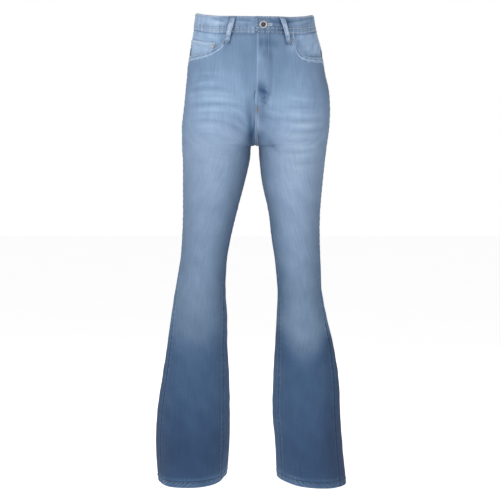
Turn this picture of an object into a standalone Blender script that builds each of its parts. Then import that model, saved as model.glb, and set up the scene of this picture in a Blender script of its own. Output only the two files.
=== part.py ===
"""High-waisted flared jeans, filled out as if worn, in metres, with +Z up and the front facing -Y.

The origin is in the middle of the waist, at half the height of the waistband.
Left and right are the wearer's, so left is at +X.
The surface of the cloth is one function of a half, a level and a length along the outline at that level.
Each panel is a wall between two offsets from that surface.
"""

import math

import bmesh
import bpy
import numpy as np

# Cloth and seams
WALL = 0.0015
THIN_WALL = 0.0012
GAP = 0.0003
HEM_WALL = 0.0030

# Levels, down from the middle of the waistband at the centre front
BAND_TOP = 0.0185
BAND_SEAM = -0.0185
CROTCH = -0.261
HEM = -1.023
HEM_DEPTH = 0.014
YOKE_AT_SIDE = -0.052
YOKE_AT_BACK = -0.090
YOKE_BEND = 0.35

# How the waist leans: higher at the sides, back and right, with a dip at each side seam
SIDE_RISE = 0.016
SIDE_DIP = 0.004
SIDE_DIP_REACH = 0.030
BACK_RISE = 0.018
LEAN = 0.016
LEAN_ENDS = -0.120

# The arch of cloth between the legs
ARCH = 0.0090
ARCH_FALL = 0.0040
PEAK_SETTLES = 0.060
BRIDGE_STARTS = -0.191

# The part above the crotch. right and left are the half widths at the sides. front and back are the
# depths of the fullest places, whose peaks are shares of the half width. centre_front and centre_back
# are where the middle seams run, and side is where the side seam runs.
RISE_COLUMNS = "level right left front back centre_front centre_back front_peak back_peak side".split()
RISE = (
    (-0.261, 0.1640, 0.1620, -0.0930, 0.1200, 0.0100, 0.0100, 0.50, 0.50, 0.008),
    (-0.253, 0.1640, 0.1630, -0.0940, 0.1230, -0.0280, 0.0480, 0.50, 0.50, 0.008),
    (-0.241, 0.1640, 0.1650, -0.0950, 0.1270, -0.0520, 0.0720, 0.49, 0.50, 0.009),
    (-0.221, 0.1640, 0.1670, -0.0960, 0.1310, -0.0740, 0.0960, 0.48, 0.50, 0.010),
    (-0.181, 0.1600, 0.1690, -0.0990, 0.1360, -0.0920, 0.1180, 0.45, 0.50, 0.010),
    (-0.141, 0.1555, 0.1665, -0.1020, 0.1330, -0.0990, 0.1220, 0.40, 0.47, 0.010),
    (-0.092, 0.1505, 0.1555, -0.1030, 0.1240, -0.1020, 0.1170, 0.35, 0.42, 0.008),
    (-0.052, 0.1435, 0.1480, -0.1010, 0.1140, -0.1000, 0.1100, 0.32, 0.38, 0.006),
    (-0.0185, 0.1370, 0.1385, -0.0970, 0.1060, -0.0970, 0.1040, 0.30, 0.35, 0.005),
    (0.0185, 0.1325, 0.1310, -0.0940, 0.1000, -0.0940, 0.0980, 0.30, 0.35, 0.005),
)

# The legs. Each leg has its outer and inner edge as seen from the front, and both share the depths.
# seam_turn is how far both leg seams run forward of the edges.
LEG_COLUMNS = "level right_out right_in left_out left_in front back inseam side seam_turn".split()
LEG = (
    (-1.023, 0.2215, 0.0650, 0.2060, 0.0490, -0.0860, 0.0880, 0.000, 0.000, 0.044),
    (-0.941, 0.2265, 0.0590, 0.1980, 0.0450, -0.0830, 0.0860, 0.000, 0.000, 0.046),
    (-0.871, 0.2235, 0.0580, 0.1930, 0.0395, -0.0800, 0.0840, 0.000, 0.000, 0.045),
    (-0.791, 0.2120, 0.0585, 0.1900, 0.0410, -0.0750, 0.0810, 0.000, 0.000, 0.042),
    (-0.711, 0.1990, 0.0625, 0.1775, 0.0455, -0.0700, 0.0770, 0.000, 0.000, 0.036),
    (-0.651, 0.1905, 0.0625, 0.1635, 0.0490, -0.0660, 0.0730, 0.000, 0.000, 0.030),
    (-0.591, 0.1810, 0.0660, 0.1520, 0.0510, -0.0640, 0.0680, 0.000, 0.000, 0.024),
    (-0.521, 0.1690, 0.0630, 0.1485, 0.0450, -0.0650, 0.0660, 0.000, 0.000, 0.018),
    (-0.471, 0.1640, 0.0550, 0.1460, 0.0380, -0.0700, 0.0740, 0.002, 0.002, 0.014),
    (-0.411, 0.1620, 0.0410, 0.1470, 0.0310, -0.0780, 0.0860, 0.004, 0.004, 0.009),
    (-0.341, 0.1620, 0.0230, 0.1530, 0.0165, -0.0860, 0.1000, 0.007, 0.006, 0.004),
    (-0.291, 0.1620, 0.0120, 0.1580, 0.0110, -0.0900, 0.1100, 0.009, 0.007, 0.001),
    (-0.261, 0.1640, 0.0095, 0.1620, 0.0090, -0.0930, 0.1200, 0.010, 0.008, 0.000),
)

# The lower edge: how far it drops towards the outside, and how far its inner corner curls up
HEM_SHAPE_STARTS = -0.791
HEM_COLUMNS = "side drop curl".split()
HEM_SHAPE = (
    ("right", 0.0010, 0.0110),
    ("left", 0.0080, 0.0020),
)

# Soft waves round the flares: waves round a leg, their share of the full height, and where they start
WAVE_HEIGHT = 0.0036
WAVES_START = -0.591
WAVE_COLUMNS = "side count share turn".split()
WAVES = (
    ("right", 3, 0.50, 0.6),
    ("right", 5, 0.35, 2.1),
    ("right", 8, 0.15, 0.9),
    ("left", 3, 0.45, 2.4),
    ("left", 4, 0.30, 0.2),
    ("left", 7, 0.25, 4.0),
)

# The largest folds: ridges between two places seen from the front or the back. FOLD_ENDS is the share of
# the height that is left at the ends, and FOLD_FACING is how squarely the cloth must face that way.
FOLD_ENDS = 0.35
FOLD_FACING = 0.35
FOLD_COLUMNS = "face x_from z_from x_to z_to height width".split()
FOLDS = (
    ("front", -0.004, -0.253, -0.085, -0.213, 0.0030, 0.010),
    ("front", -0.010, -0.259, -0.100, -0.253, 0.0026, 0.011),
    ("front", 0.004, -0.249, 0.080, -0.291, 0.0034, 0.011),
    ("front", 0.006, -0.239, 0.092, -0.223, 0.0028, 0.010),
    ("front", -0.145, -0.149, -0.045, -0.159, 0.0022, 0.008),
    ("front", -0.140, -0.181, -0.055, -0.173, 0.0018, 0.007),
    ("front", 0.050, -0.191, 0.140, -0.173, 0.0020, 0.008),
    ("front", 0.060, -0.223, 0.145, -0.203, 0.0018, 0.008),
    ("front", 0.075, -0.281, 0.140, -0.266, 0.0014, 0.010),
    ("back", -0.100, -0.283, -0.020, -0.267, 0.0030, 0.009),
    ("back", 0.018, -0.271, 0.105, -0.289, 0.0032, 0.010),
    ("back", -0.120, -0.309, -0.030, -0.297, 0.0022, 0.009),
    ("back", 0.030, -0.303, 0.115, -0.319, 0.0020, 0.009),
    ("back", -0.155, -0.511, -0.080, -0.499, 0.0028, 0.010),
    ("back", -0.158, -0.547, -0.085, -0.539, 0.0024, 0.011),
    ("back", 0.062, -0.496, 0.135, -0.513, 0.0030, 0.010),
    ("back", 0.070, -0.537, 0.138, -0.546, 0.0022, 0.012),
)

# The front pockets: a scoop that is a rounded corner, cut down from the waistband to the side seam.
# power is how square the corner is.
SCOOP_COLUMNS = "side width depth power".split()
SCOOPS = (
    ("right", 0.134, 0.0505, 2.6),
    ("left", 0.112, 0.0515, 6.0),
)
FACING_REACH = 0.022
# Where the facing rises from under the front to its full height, as shares of the scoop
FACING_RISES_FROM = 0.12
FACING_RISES_OVER = 0.50
FACING_ROWS = 8
FACING_COLUMNS = 12

# The coin pocket lies on the right facing, over some of its rows and columns
COIN_ROWS = (2, 6)
COIN_COLUMNS = (3, 10)
RIVET_WIDTH = 0.0080
RIVET_INSET = 0.0065
# Round metal pieces are profiles: a share of the radius, and a height over the cloth
PROFILE_COLUMNS = "share height".split()
RIVET_PROFILE = (
    (1.00, 0.0000),
    (1.00, 0.0006),
    (0.75, 0.0013),
    (0.30, 0.0016),
)

# The fly: the left front overlaps the right
FLY_LIFT = 0.0036
FLY_LIFT_FLAT = 0.046
FLY_LIFT_ENDS = 0.085
FLY_FLAT_ENDS = -0.146
FLY_ENDS = -0.177
FLY_EDGE = 0.0042
LAP_GROWS = 0.080
UNDERLAP = 0.010
UNDERLAP_GROWS = 0.012
ZIP_MIDDLE = 0.0155
CHAIN_WALL = 0.0013
TAPE_WALL = 0.0006
NEAREST_END = 0.98
# The strips behind the fly: their first and last lengths, top and bottom levels, and rounded corner
FLY_STRIP_COLUMNS = "name first last top bottom rounded".split()
FLY_STRIPS = (
    ("fly_facing", 0.0054, 0.0420, -0.0188, -0.1440, 0.045),
    ("zip_chain", 0.0125, 0.0185, -0.0345, -0.1360, 0.000),
    ("zip_tape", 0.0010, 0.0310, -0.0198, -0.1400, 0.000),
    ("fly_shield", -0.0080, 0.0400, -0.0188, -0.1480, 0.020),
)
# The zip's slider and its pull, from the top down
SLIDER_OUT = -0.0001
SLIDER_COLUMNS = "level half_width thick".split()
SLIDER_RUN = (
    (-0.0235, 0.0036, 0.0020),
    (-0.0255, 0.0046, 0.0027),
    (-0.0325, 0.0040, 0.0027),
    (-0.0333, 0.0024, 0.0011),
    (-0.0560, 0.0028, 0.0011),
    (-0.0590, 0.0016, 0.0011),
)

# The waistband
BAND_ROWS = 4
BAND_WALL = 0.0024
BAND_PROUD = 0.0009
BAND_LIFT = 0.0027
BAND_EDGE = 0.0015
BAND_UNDERLAP = 0.038
BUTTON_AT = 0.0180
BUTTON_WIDTH = 0.0170
BUTTON_PROFILE = (
    (0.55, 0.0000),
    (0.60, 0.0010),
    (0.94, 0.0014),
    (1.00, 0.0022),
    (0.93, 0.0031),
    (0.72, 0.0034),
    (0.55, 0.0028),
    (0.42, 0.0022),
    (0.20, 0.0023),
)

# The belt loops: where the top and bottom of each lies, as a length from the centre front or back
LOOP_WIDTH = 0.0105
LOOP_COLUMNS = "name side end top bottom".split()
LOOPS = (
    ("belt_loop_front_right", "right", "front", 0.047, 0.061),
    ("belt_loop_front_left", "left", "front", 0.057, 0.074),
    ("belt_loop_side_right", "right", "back", 0.118, 0.124),
    ("belt_loop_side_left", "left", "back", 0.118, 0.124),
    ("belt_loop_back", "left", "back", 0.000, 0.000),
)
# The run of a loop: its level and how far its inner face stands from the panels
LOOP_RUN_COLUMNS = "level stand".split()
LOOP_RUN = (
    (-0.0410, 0.0003),
    (-0.0340, 0.0003),
    (-0.0285, 0.0028),
    (-0.0215, 0.0054),
    (-0.0100, 0.0062),
    (0.0040, 0.0062),
    (0.0105, 0.0048),
    (0.0148, 0.0013),
    (0.0178, 0.0013),
)

# The back pockets
PATCH_WIDTH = 0.134
PATCH_TOP = -0.111
PATCH_HEIGHT = 0.116
PATCH_POINT = 0.026
PATCH_FROM_BACK = 0.088
PATCH_TAPER = 0.10
PATCH_SLOPE = 0.175

# Grids. ROUNDING keeps a point at the middle seam on its own side, TOUCHING is how near two sizes count
# as equal, and PROBE is how far apart the places are that give the direction out of the cloth.
ROUNDING = 0.00002
TOUCHING = 1e-7
PROBE = 0.002
PANEL_COLUMNS = 14
COLUMN_CROWDING = 0.35
CROWDING_REACH = 0.080
EVEN_FROM = -0.114
EVEN_ROWS = 9
UPPER_ROWS = 5
THIGH_ROWS_FROM = -0.299
THIGH_ROWS_TO = -0.581
FLARE_ROWS_FROM = -0.631
# Columns across a pocket's scoop, as shares of its width from the side seam, closer at its steep end
SCOOP_SHARES = (1.0, 0.985, 0.94, 0.87, 0.77, 0.66, 0.55, 0.44, 0.33, 0.22, 0.11, 0.0)
FRONT_COLUMNS = 17
# How far a flat face between two points may cut under a round surface
FACET = 0.0007
ARC_STEPS = 20

COLOURS = {
    "denim_panel": (0.24, 0.36, 0.53),
    "denim_trim": (0.36, 0.46, 0.60),
    "denim_inside": (0.30, 0.38, 0.50),
    "zip_tape": (0.05, 0.09, 0.16),
    "zip_metal": (0.45, 0.42, 0.36),
    "button_metal": (0.22, 0.24, 0.27),
}
METALS = ("zip_metal", "button_metal")
OTHER = {"left": "right", "right": "left"}
SIGN = {"left": 1.0, "right": -1.0}


def read(table, columns, name):
    """One named column of a table."""
    return [row[columns.index(name)] for row in table]


def rows_of(table, columns):
    """The rows of a table as dictionaries."""
    return [dict(zip(columns, row)) for row in table]


def row_for(side, table, columns):
    """The row of a table that describes one side."""
    return next(row for row in rows_of(table, columns) if row["side"] == side)


def ease(x):
    """0 to 1 with no slope at either end."""
    x = np.clip(x, 0.0, 1.0)
    return x * x * (3 - 2 * x)


def on_curve(at, places, values):
    """Values on a smooth curve through given places, which rise."""
    places = np.asarray(places, float)
    values = np.asarray(values, float)
    slopes = np.gradient(values, places)
    at = np.clip(at, places[0], places[-1])
    i = np.clip(np.searchsorted(places, at, side="right") - 1, 0, len(places) - 2)
    step = places[i + 1] - places[i]
    s = (at - places[i]) / step
    from_here = (1 + 2 * s) * (1 - s) ** 2 * values[i] + s * (1 - s) ** 2 * step * slopes[i]
    to_next = s * s * (3 - 2 * s) * values[i + 1] + s * s * (s - 1) * step * slopes[i + 1]
    return from_here + to_next


def above(level):
    """The square root of the height over the crotch, in which the middle seams run straight into it."""
    return np.sqrt(np.maximum(level - CROTCH, 0.0))


def rise_size(level, name):
    """A size above the crotch."""
    places = above(np.array(read(RISE, RISE_COLUMNS, "level")))
    return on_curve(above(level), places, read(RISE, RISE_COLUMNS, name))


def leg_size(level, name):
    """A size below the crotch."""
    return on_curve(level, read(LEG, LEG_COLUMNS, "level"), read(LEG, LEG_COLUMNS, name))


def whole_size(level, name, leg_name):
    """A size that runs smoothly through the crotch, on one curve through both tables."""
    levels = read(LEG, LEG_COLUMNS, "level") + read(RISE, RISE_COLUMNS, "level")[1:]
    values = read(LEG, LEG_COLUMNS, leg_name) + read(RISE, RISE_COLUMNS, name)[1:]
    return on_curve(level, levels, values)


def sizes(side, level):
    """The sizes of one half's outline at each level."""
    leg = level < CROTCH
    drop = np.maximum(CROTCH - level, 0.0)
    opening = np.sqrt(1 - np.exp(-2 * drop / ARCH_FALL))
    bridge = ease((BRIDGE_STARTS - level) / (BRIDGE_STARTS - CROTCH))
    out = whole_size(level, side, side + "_out")
    inner = np.where(leg, leg_size(level, side + "_in") * opening, 0.0) + GAP / 2
    middle = (out + leg_size(level, side + "_in") * ease(drop / PEAK_SETTLES)) / 2
    return {
        "out": out,
        "inner": inner,
        "front": whole_size(level, "front", "front"),
        "back": whole_size(level, "back", "back"),
        "side": whole_size(level, "side", "side"),
        "front_in": np.where(leg, leg_size(level, "inseam"), rise_size(level, "centre_front")) - GAP / 2,
        "back_in": np.where(leg, leg_size(level, "inseam"), rise_size(level, "centre_back")) + GAP / 2,
        "front_peak": np.where(leg, middle, out * rise_size(level, "front_peak")),
        "back_peak": np.where(leg, middle, out * rise_size(level, "back_peak")),
        "bridge": bridge,
        "fillet": np.where(leg, np.maximum(ARCH - inner, 0.0), ARCH * bridge),
    }


def inner_run(size, face):
    """The outline from the inner seam to the peak of the front or back."""
    toward = {"front": -1.0, "back": 1.0}[face]
    start = size[face + "_in"]
    peak_x = size[face + "_peak"]
    peak_y = size[face]
    turn = np.linspace(0.0, math.pi / 2, ARC_STEPS // 2)[None, :-1]
    radius = size["fillet"]
    fillet_x = size["inner"] + radius * np.sin(turn)
    fillet_y = start + toward * radius * (1 - np.cos(turn))
    wall_x = size["inner"] + radius
    wall_y = start + toward * radius
    swing = np.linspace(math.pi / 2, 0.0, ARC_STEPS)[None, :]
    share = swing / (math.pi / 2)
    across = (1 - size["bridge"]) * share + size["bridge"] * np.sin(swing)
    deep = (1 - size["bridge"]) * ease(share) + size["bridge"] * (1 - np.cos(swing))
    arc_x = peak_x + (wall_x - peak_x) * across
    arc_y = peak_y + (wall_y - peak_y) * deep
    return np.hstack([fillet_x, arc_x]), np.hstack([fillet_y, arc_y])


def outer_run(size, face):
    """The outline from the peak of the front or back to the side."""
    swing = np.linspace(math.pi / 2, 0.0, ARC_STEPS)[None, 1:]
    peak_x = size[face + "_peak"]
    x = peak_x + (size["out"] - peak_x) * np.cos(swing)
    y = size["side"] + (size[face] - size["side"]) * np.sin(swing)
    return x, y


def outlines(side, level):
    """Each level's outline of one half, from the inner front past the side to the inner back.

    It gives x, y, the length to each point, and the length to the side.
    """
    size = sizes(side, np.atleast_1d(level)[:, None])
    runs = [inner_run(size, "front"), outer_run(size, "front")]
    runs += [tuple(part[:, ::-1][:, 1:] for part in outer_run(size, "back"))]
    peak = (size["back_peak"], size["back"])
    runs += [tuple(part * np.ones((len(size["out"]), 1)) for part in peak)]
    runs += [tuple(part[:, ::-1][:, 1:] for part in inner_run(size, "back"))]
    x = np.hstack([run[0] for run in runs])
    y = np.hstack([run[1] for run in runs])
    steps = np.hypot(np.diff(x, axis=1), np.diff(y, axis=1))
    length = np.hstack([np.zeros((len(x), 1)), np.cumsum(steps, axis=1)])
    at_side = np.argmax(x >= size["out"] - TOUCHING, axis=1)
    return x, y, length, length[np.arange(len(x)), at_side]


def walk(x, y, length, along):
    """The place at a length along each outline."""
    i = np.clip((length <= along[:, None]).sum(axis=1) - 1, 0, length.shape[1] - 2)
    row = np.arange(len(along))
    step = np.maximum(length[row, i + 1] - length[row, i], 1e-9)
    s = np.clip((along - length[row, i]) / step, 0.0, 1.0)
    return x[row, i] + s * (x[row, i + 1] - x[row, i]), y[row, i] + s * (y[row, i + 1] - y[row, i])


def waist_rise(level, x, y):
    """How far the waist stands over its level: more at the sides and back, and more on the right."""
    fade = ease((level - LEAN_ENDS) / (BAND_SEAM - LEAN_ENDS))
    front = rise_size(level, "front")
    back = rise_size(level, "back")
    to_side = ease((y - front) / (0.0 - front))
    to_back = ease(y / back)
    dip = SIDE_DIP * np.exp(-((y / SIDE_DIP_REACH) ** 2))
    return fade * (SIDE_RISE * to_side + (BACK_RISE - SIDE_RISE) * to_back - LEAN * x - dip)


def hem_rise(side, level, x, size):
    """How far the lower edge stands over its level: lower at the outside, with its inner corner up."""
    shape = row_for(side, HEM_SHAPE, HEM_COLUMNS)
    fade = ease((HEM_SHAPE_STARTS - level) / (HEM_SHAPE_STARTS - HEM))
    middle = (size["out"] + size["inner"])[:, 0] / 2
    half = (size["out"] - size["inner"])[:, 0] / 2
    outward = np.clip((x - middle) / half, -1.0, 1.0)
    return fade * (shape["curl"] * np.maximum(-outward, 0.0) ** 4 - shape["drop"] * outward)


def base(side, level, along):
    """The surface with no folds. Past the middle it runs on over the other half, or round the leg."""
    level, along = np.broadcast_arrays(np.asarray(level, float), np.asarray(along, float))
    shape = level.shape
    level, along = level.ravel(), along.ravel()
    x, y, length, _ = outlines(side, level)
    whole = length[:, -1]
    leg = level < CROTCH
    wrapped = np.where(leg, np.mod(along, whole), along)
    px, py = walk(x, y, length, wrapped)
    over = ~leg & ((along < 0) | (along > whole))
    sign = np.full(len(level), SIGN[side])
    if over.any():
        ox, oy, far, _ = outlines(OTHER[side], level[over])
        extra = np.where(along[over] < 0, -along[over], far[:, -1] - (along[over] - whole[over]))
        px[over], py[over] = walk(ox, oy, far, extra)
        sign[over] = -sign[over]
    size = sizes(side, level[:, None])
    pz = level + np.where(leg, hem_rise(side, level, px, size), waist_rise(level, sign * px, py))
    return np.stack([sign * px, py, pz], axis=-1).reshape(shape + (3,))


def outward(side, level, along):
    """The direction out of the cloth at each place."""
    across = base(side, level, along + PROBE) - base(side, level, along - PROBE)
    up = base(side, level + PROBE, along) - base(side, level - PROBE, along)
    way = np.cross(across, up) * SIGN[side]
    return way / np.maximum(np.linalg.norm(way, axis=-1, keepdims=True), 1e-12)


def waves(side, level, share):
    """The height of the waves round the flares."""
    size = WAVE_HEIGHT * ease((WAVES_START - level) / (WAVES_START - HEM))
    total = np.zeros(np.shape(share))
    for wave in rows_of(WAVES, WAVE_COLUMNS):
        if wave["side"] == side:
            total = total + wave["share"] * np.cos(2 * math.pi * wave["count"] * share + wave["turn"])
    return size * total


def ridges(point, way):
    """The height of the largest folds."""
    x, z = point[..., 0], point[..., 2]
    facing = {"front": -way[..., 1], "back": way[..., 1]}
    total = np.zeros(x.shape)
    for fold in rows_of(FOLDS, FOLD_COLUMNS):
        dx = fold["x_to"] - fold["x_from"]
        dz = fold["z_to"] - fold["z_from"]
        s = np.clip(((x - fold["x_from"]) * dx + (z - fold["z_from"]) * dz) / (dx * dx + dz * dz), 0.0, 1.0)
        away = np.hypot(x - fold["x_from"] - s * dx, z - fold["z_from"] - s * dz)
        body = np.exp(-((away / fold["width"]) ** 2)) * (FOLD_ENDS + (1 - FOLD_ENDS) * np.sin(math.pi * s))
        total += fold["height"] * body * ease(facing[fold["face"]] / FOLD_FACING)
    return total


def cloth(side, level, along, out=0.0):
    """The surface of the cloth with its folds, moved out by a distance."""
    level, along = np.broadcast_arrays(np.asarray(level, float), np.asarray(along, float))
    point = base(side, level, along)
    way = outward(side, level, along)
    flat = level.ravel()
    whole = outlines(side, flat)[2][:, -1].reshape(level.shape)
    height = waves(side, level, along / whole) + ridges(point, way)
    return point + way * (height + out)[..., None]


def to_side(side, level):
    """The length from the inner front to the side seam."""
    level = np.asarray(level, float)
    seam = outlines(side, level.ravel())[3].reshape(level.shape)
    return seam - np.where(level < CROTCH, leg_size(level, "seam_turn"), 0.0)


def all_round(side, level):
    """The length from the inner front to the inner back."""
    level = np.asarray(level, float)
    return outlines(side, level.ravel())[2][:, -1].reshape(level.shape)


def inseam(level):
    """How far the inner leg seam runs forward of the inner edge."""
    return np.where(level < CROTCH, leg_size(level, "seam_turn"), 0.0)


def fly_lift(level, along):
    """How far the left front stands off, over the fly."""
    return (
        FLY_LIFT
        * (1 - ease((along - FLY_LIFT_FLAT) / (FLY_LIFT_ENDS - FLY_LIFT_FLAT)))
        * ease((level - FLY_ENDS) / (FLY_FLAT_ENDS - FLY_ENDS))
    )


def band_lift(along):
    """How far the left end of the waistband stands off, over the right end."""
    return BAND_LIFT * (1 - ease((along - FLY_LIFT_FLAT) / (FLY_LIFT_ENDS - FLY_LIFT_FLAT)))


def material(name):
    made = bpy.data.materials.get(name)
    if made is None:
        made = bpy.data.materials.new(name)
        made.use_nodes = True
        made.diffuse_color = COLOURS[name] + (1.0,)
        shader = made.node_tree.nodes["Principled BSDF"]
        shader.inputs["Base Color"].default_value = COLOURS[name] + (1.0,)
        shader.inputs["Roughness"].default_value = 0.35 if name in METALS else 0.9
        shader.inputs["Metallic"].default_value = 1.0 if name in METALS else 0.0
    return made


def add_object(name, mesh_points, faces, finish, parent):
    """One closed body with its faces pointing out."""
    mesh = bpy.data.meshes.new(name)
    mesh.from_pydata([tuple(p) for p in mesh_points], [], faces)
    body = bmesh.new()
    body.from_mesh(mesh)
    bmesh.ops.recalc_face_normals(body, faces=body.faces)
    bmesh.ops.triangulate(body, faces=body.faces)
    body.to_mesh(mesh)
    body.free()
    mesh.shade_smooth()
    mesh.set_sharp_from_angle(angle=math.radians(40))
    mesh.materials.append(material(finish))
    made = bpy.data.objects.new(name, mesh)
    bpy.context.scene.collection.objects.link(made)
    made.parent = parent
    return made


def wall(name, outer, inner, finish, parent):
    """A wall between two grids of points."""
    rows, columns = outer.shape[:2]
    count = rows * columns
    points = np.concatenate([outer.reshape(-1, 3), inner.reshape(-1, 3)])
    faces = []
    for r in range(rows - 1):
        for c in range(columns - 1):
            a = r * columns + c
            quad = (a, a + 1, a + 1 + columns, a + columns)
            faces.append(quad)
            faces.append(tuple(count + i for i in quad[::-1]))
    border = list(range(columns))
    border += [r * columns + columns - 1 for r in range(1, rows)]
    border += [(rows - 1) * columns + c for c in range(columns - 2, -1, -1)]
    border += [r * columns for r in range(rows - 2, 0, -1)]
    for i, a in enumerate(border):
        b = border[(i + 1) % len(border)]
        faces.append((b, a, count + a, count + b))
    return add_object(name, points, faces, finish, parent)


def shares(level, columns):
    """Column places from the inner seam to the side, closer at the inner seam near the crotch."""
    near = np.exp(-(((level - CROTCH) / CROWDING_REACH) ** 2))
    return np.linspace(0.0, 1.0, columns)[None, :] ** (1 + COLUMN_CROWDING * near[:, None])


def leg_levels():
    """Levels from just below the crotch to the lower edge."""
    near = CROTCH - np.array([0.0008, 0.0035, 0.009, 0.018])
    thigh = np.linspace(THIGH_ROWS_FROM, THIGH_ROWS_TO, 8)
    flare = np.linspace(FLARE_ROWS_FROM, HEM + HEM_DEPTH + 0.045, 7)
    hem = np.array([HEM + HEM_DEPTH + 0.0015, HEM + HEM_DEPTH, HEM + HEM_DEPTH / 2, HEM])
    return np.concatenate([near, thigh, flare, hem])


def even_levels():
    """The levels that every panel shares, closer at the crotch, so that seams meet along the same lines."""
    roots = np.linspace(above(EVEN_FROM), 0.0, EVEN_ROWS)
    return np.concatenate([CROTCH + roots**2, leg_levels()])


def panel_wall(level):
    """The thickness of a leg panel, which is doubled by the turned hem."""
    return WALL + (HEM_WALL - WALL) * (level < HEM + HEM_DEPTH + 0.0001)


def front_ends(side, levels):
    """The lengths to a front's inner edge and side seam. Over the fly the left laps over the right."""
    if side == "left":
        lap = FLY_EDGE * ease((levels - FLY_ENDS) / LAP_GROWS)
    else:
        lap = -UNDERLAP * ease((levels - FLY_FLAT_ENDS) / UNDERLAP_GROWS)
    inner_end = np.where(levels < CROTCH, inseam(levels) + GAP / 2, lap)
    return inner_end, to_side(side, levels) - GAP / 2


def front_columns(side, inner_end, outer_end):
    """Where the columns cross the waistband's seam: evenly to the scoop, then in step with its edge."""
    width = row_for(side, SCOOPS, SCOOP_COLUMNS)["width"]
    plain = FRONT_COLUMNS - len(SCOOP_SHARES)
    even = (1 - width / (outer_end - inner_end)) * np.arange(plain) / plain
    return np.concatenate([even, 1 - width * np.array(SCOOP_SHARES) / (outer_end - inner_end)])


def front_panel(side, parent):
    """A front, from the waistband to the lower edge, with its scoop and its side of the fly."""
    across = np.array(SCOOP_SHARES)
    scoop = row_for(side, SCOOPS, SCOOP_COLUMNS)
    dip = scoop["depth"] * (1 - across ** scoop["power"]) ** (1 / scoop["power"])
    top = BAND_SEAM - GAP - np.concatenate([np.zeros(FRONT_COLUMNS - len(across)), dip])
    v = np.linspace(0.0, 1.0, UPPER_ROWS + 1)[:-1, None]
    evens = even_levels()
    levels = np.concatenate([top * (1 - v) + EVEN_FROM * v, evens[:, None] * np.ones((1, FRONT_COLUMNS))])
    inner_end, outer_end = front_ends(side, levels)
    first = front_columns(side, inner_end[0, 0], outer_end[0, 0])
    even = shares(evens, FRONT_COLUMNS)
    u = np.concatenate([first * (1 - v) + even[:1] * v, even])
    along = inner_end + (outer_end - inner_end) * u
    lift = fly_lift(levels, along) if side == "left" else 0.0 * levels
    outer = cloth(side, levels, along, lift)
    inner = cloth(side, levels, along, lift - panel_wall(levels))
    wall("front_" + side, outer, inner, "denim_panel", parent)


def yoke_level(level_side, level_back, u):
    """The level of the seam under the yoke: u runs from the side to the centre back."""
    return level_side + (level_back - level_side) * ((1 - YOKE_BEND) * u + YOKE_BEND * ease(u))


def yoke(side, parent):
    """The shaped piece between the waistband and a back panel."""
    u = np.linspace(0.0, 1.0, 12)[None, :]
    v = np.linspace(0.0, 1.0, 4)[:, None]
    seam = yoke_level(YOKE_AT_SIDE, YOKE_AT_BACK, u) + GAP / 2
    levels = (BAND_SEAM - GAP) * (1 - v) + seam * v
    start = to_side(side, levels) + GAP / 2
    along = start + (all_round(side, levels) - start) * u
    outer = cloth(side, levels, along)
    inner = cloth(side, levels, along, -WALL)
    wall("yoke_" + side, outer, inner, "denim_panel", parent)


def back_panel(side, parent):
    """A back, from the yoke to the lower edge."""
    evens = even_levels()
    u = 1 - shares(evens, PANEL_COLUMNS)[:, ::-1]
    seam = yoke_level(YOKE_AT_SIDE, YOKE_AT_BACK, u[:1]) - GAP / 2
    v = np.linspace(0.0, 1.0, 4)[:-1, None]
    upper = seam * (1 - v) + evens[0] * v
    levels = np.concatenate([upper, evens[:, None] * np.ones((1, PANEL_COLUMNS))])
    u = np.concatenate([np.repeat(u[:1], len(v), axis=0), u])
    start = to_side(side, levels) + GAP / 2
    end = all_round(side, levels) + inseam(levels) - np.where(levels < CROTCH, GAP / 2, ROUNDING)
    along = start + (end - start) * u
    outer = cloth(side, levels, along)
    inner = cloth(side, levels, along, -panel_wall(levels))
    wall("back_" + side, outer, inner, "denim_panel", parent)


def facing_grid(side):
    """The levels, lengths and offsets of a front pocket's facing. It lies deeper under the front's edge."""
    scoop = row_for(side, SCOOPS, SCOOP_COLUMNS)
    v = np.linspace(0.0, 1.0, FACING_ROWS)[:, None]
    levels = BAND_SEAM - GAP - v * (scoop["depth"] + FACING_REACH)
    seam = to_side(side, levels) - GAP / 2
    away = (scoop["width"] + FACING_REACH) * (1 - np.linspace(0.0, 1.0, FACING_COLUMNS)[None, :])
    along = seam - away
    deep = (BAND_SEAM - levels) / scoop["depth"]
    power = scoop["power"]
    inside = 1 - ((away / scoop["width"]) ** power + deep**power) ** (1 / power)
    under = WALL + GAP + FACET + (THIN_WALL + GAP if side == "right" else 0.0)
    return levels + 0 * along, along, -under * (1 - ease((inside - FACING_RISES_FROM) / FACING_RISES_OVER))


def facing(side, parent):
    """The denim that shows in a front pocket, from the side seam to under the front."""
    levels, along, out = facing_grid(side)
    outer = cloth(side, levels, along, out)
    inner = cloth(side, levels, along, out - THIN_WALL)
    wall("pocket_facing_" + side, outer, inner, "denim_trim", parent)


def coin_pocket(parent):
    """The small pocket on the right facing, made from the facing's points, with a rivet at a corner."""
    rows = slice(COIN_ROWS[0], COIN_ROWS[1] + 1)
    columns = slice(COIN_COLUMNS[0], COIN_COLUMNS[1] + 1)
    levels, along, out = [grid[rows, columns] for grid in facing_grid("right")]
    outer = cloth("right", levels, along, out + GAP + THIN_WALL)
    inner = cloth("right", levels, along, out + GAP)
    wall("coin_pocket", outer, inner, "denim_trim", parent)
    level = levels[:1, 0] - RIVET_INSET
    length = along[:1, 0] + RIVET_INSET
    place = cloth("right", level, length, out[:1, 0] + THIN_WALL + 2 * GAP)[0]
    way = outward("right", level, length)[0]
    turned("rivet_coin_pocket", RIVET_PROFILE, RIVET_WIDTH / 2, place, way, 20, parent)


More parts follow.
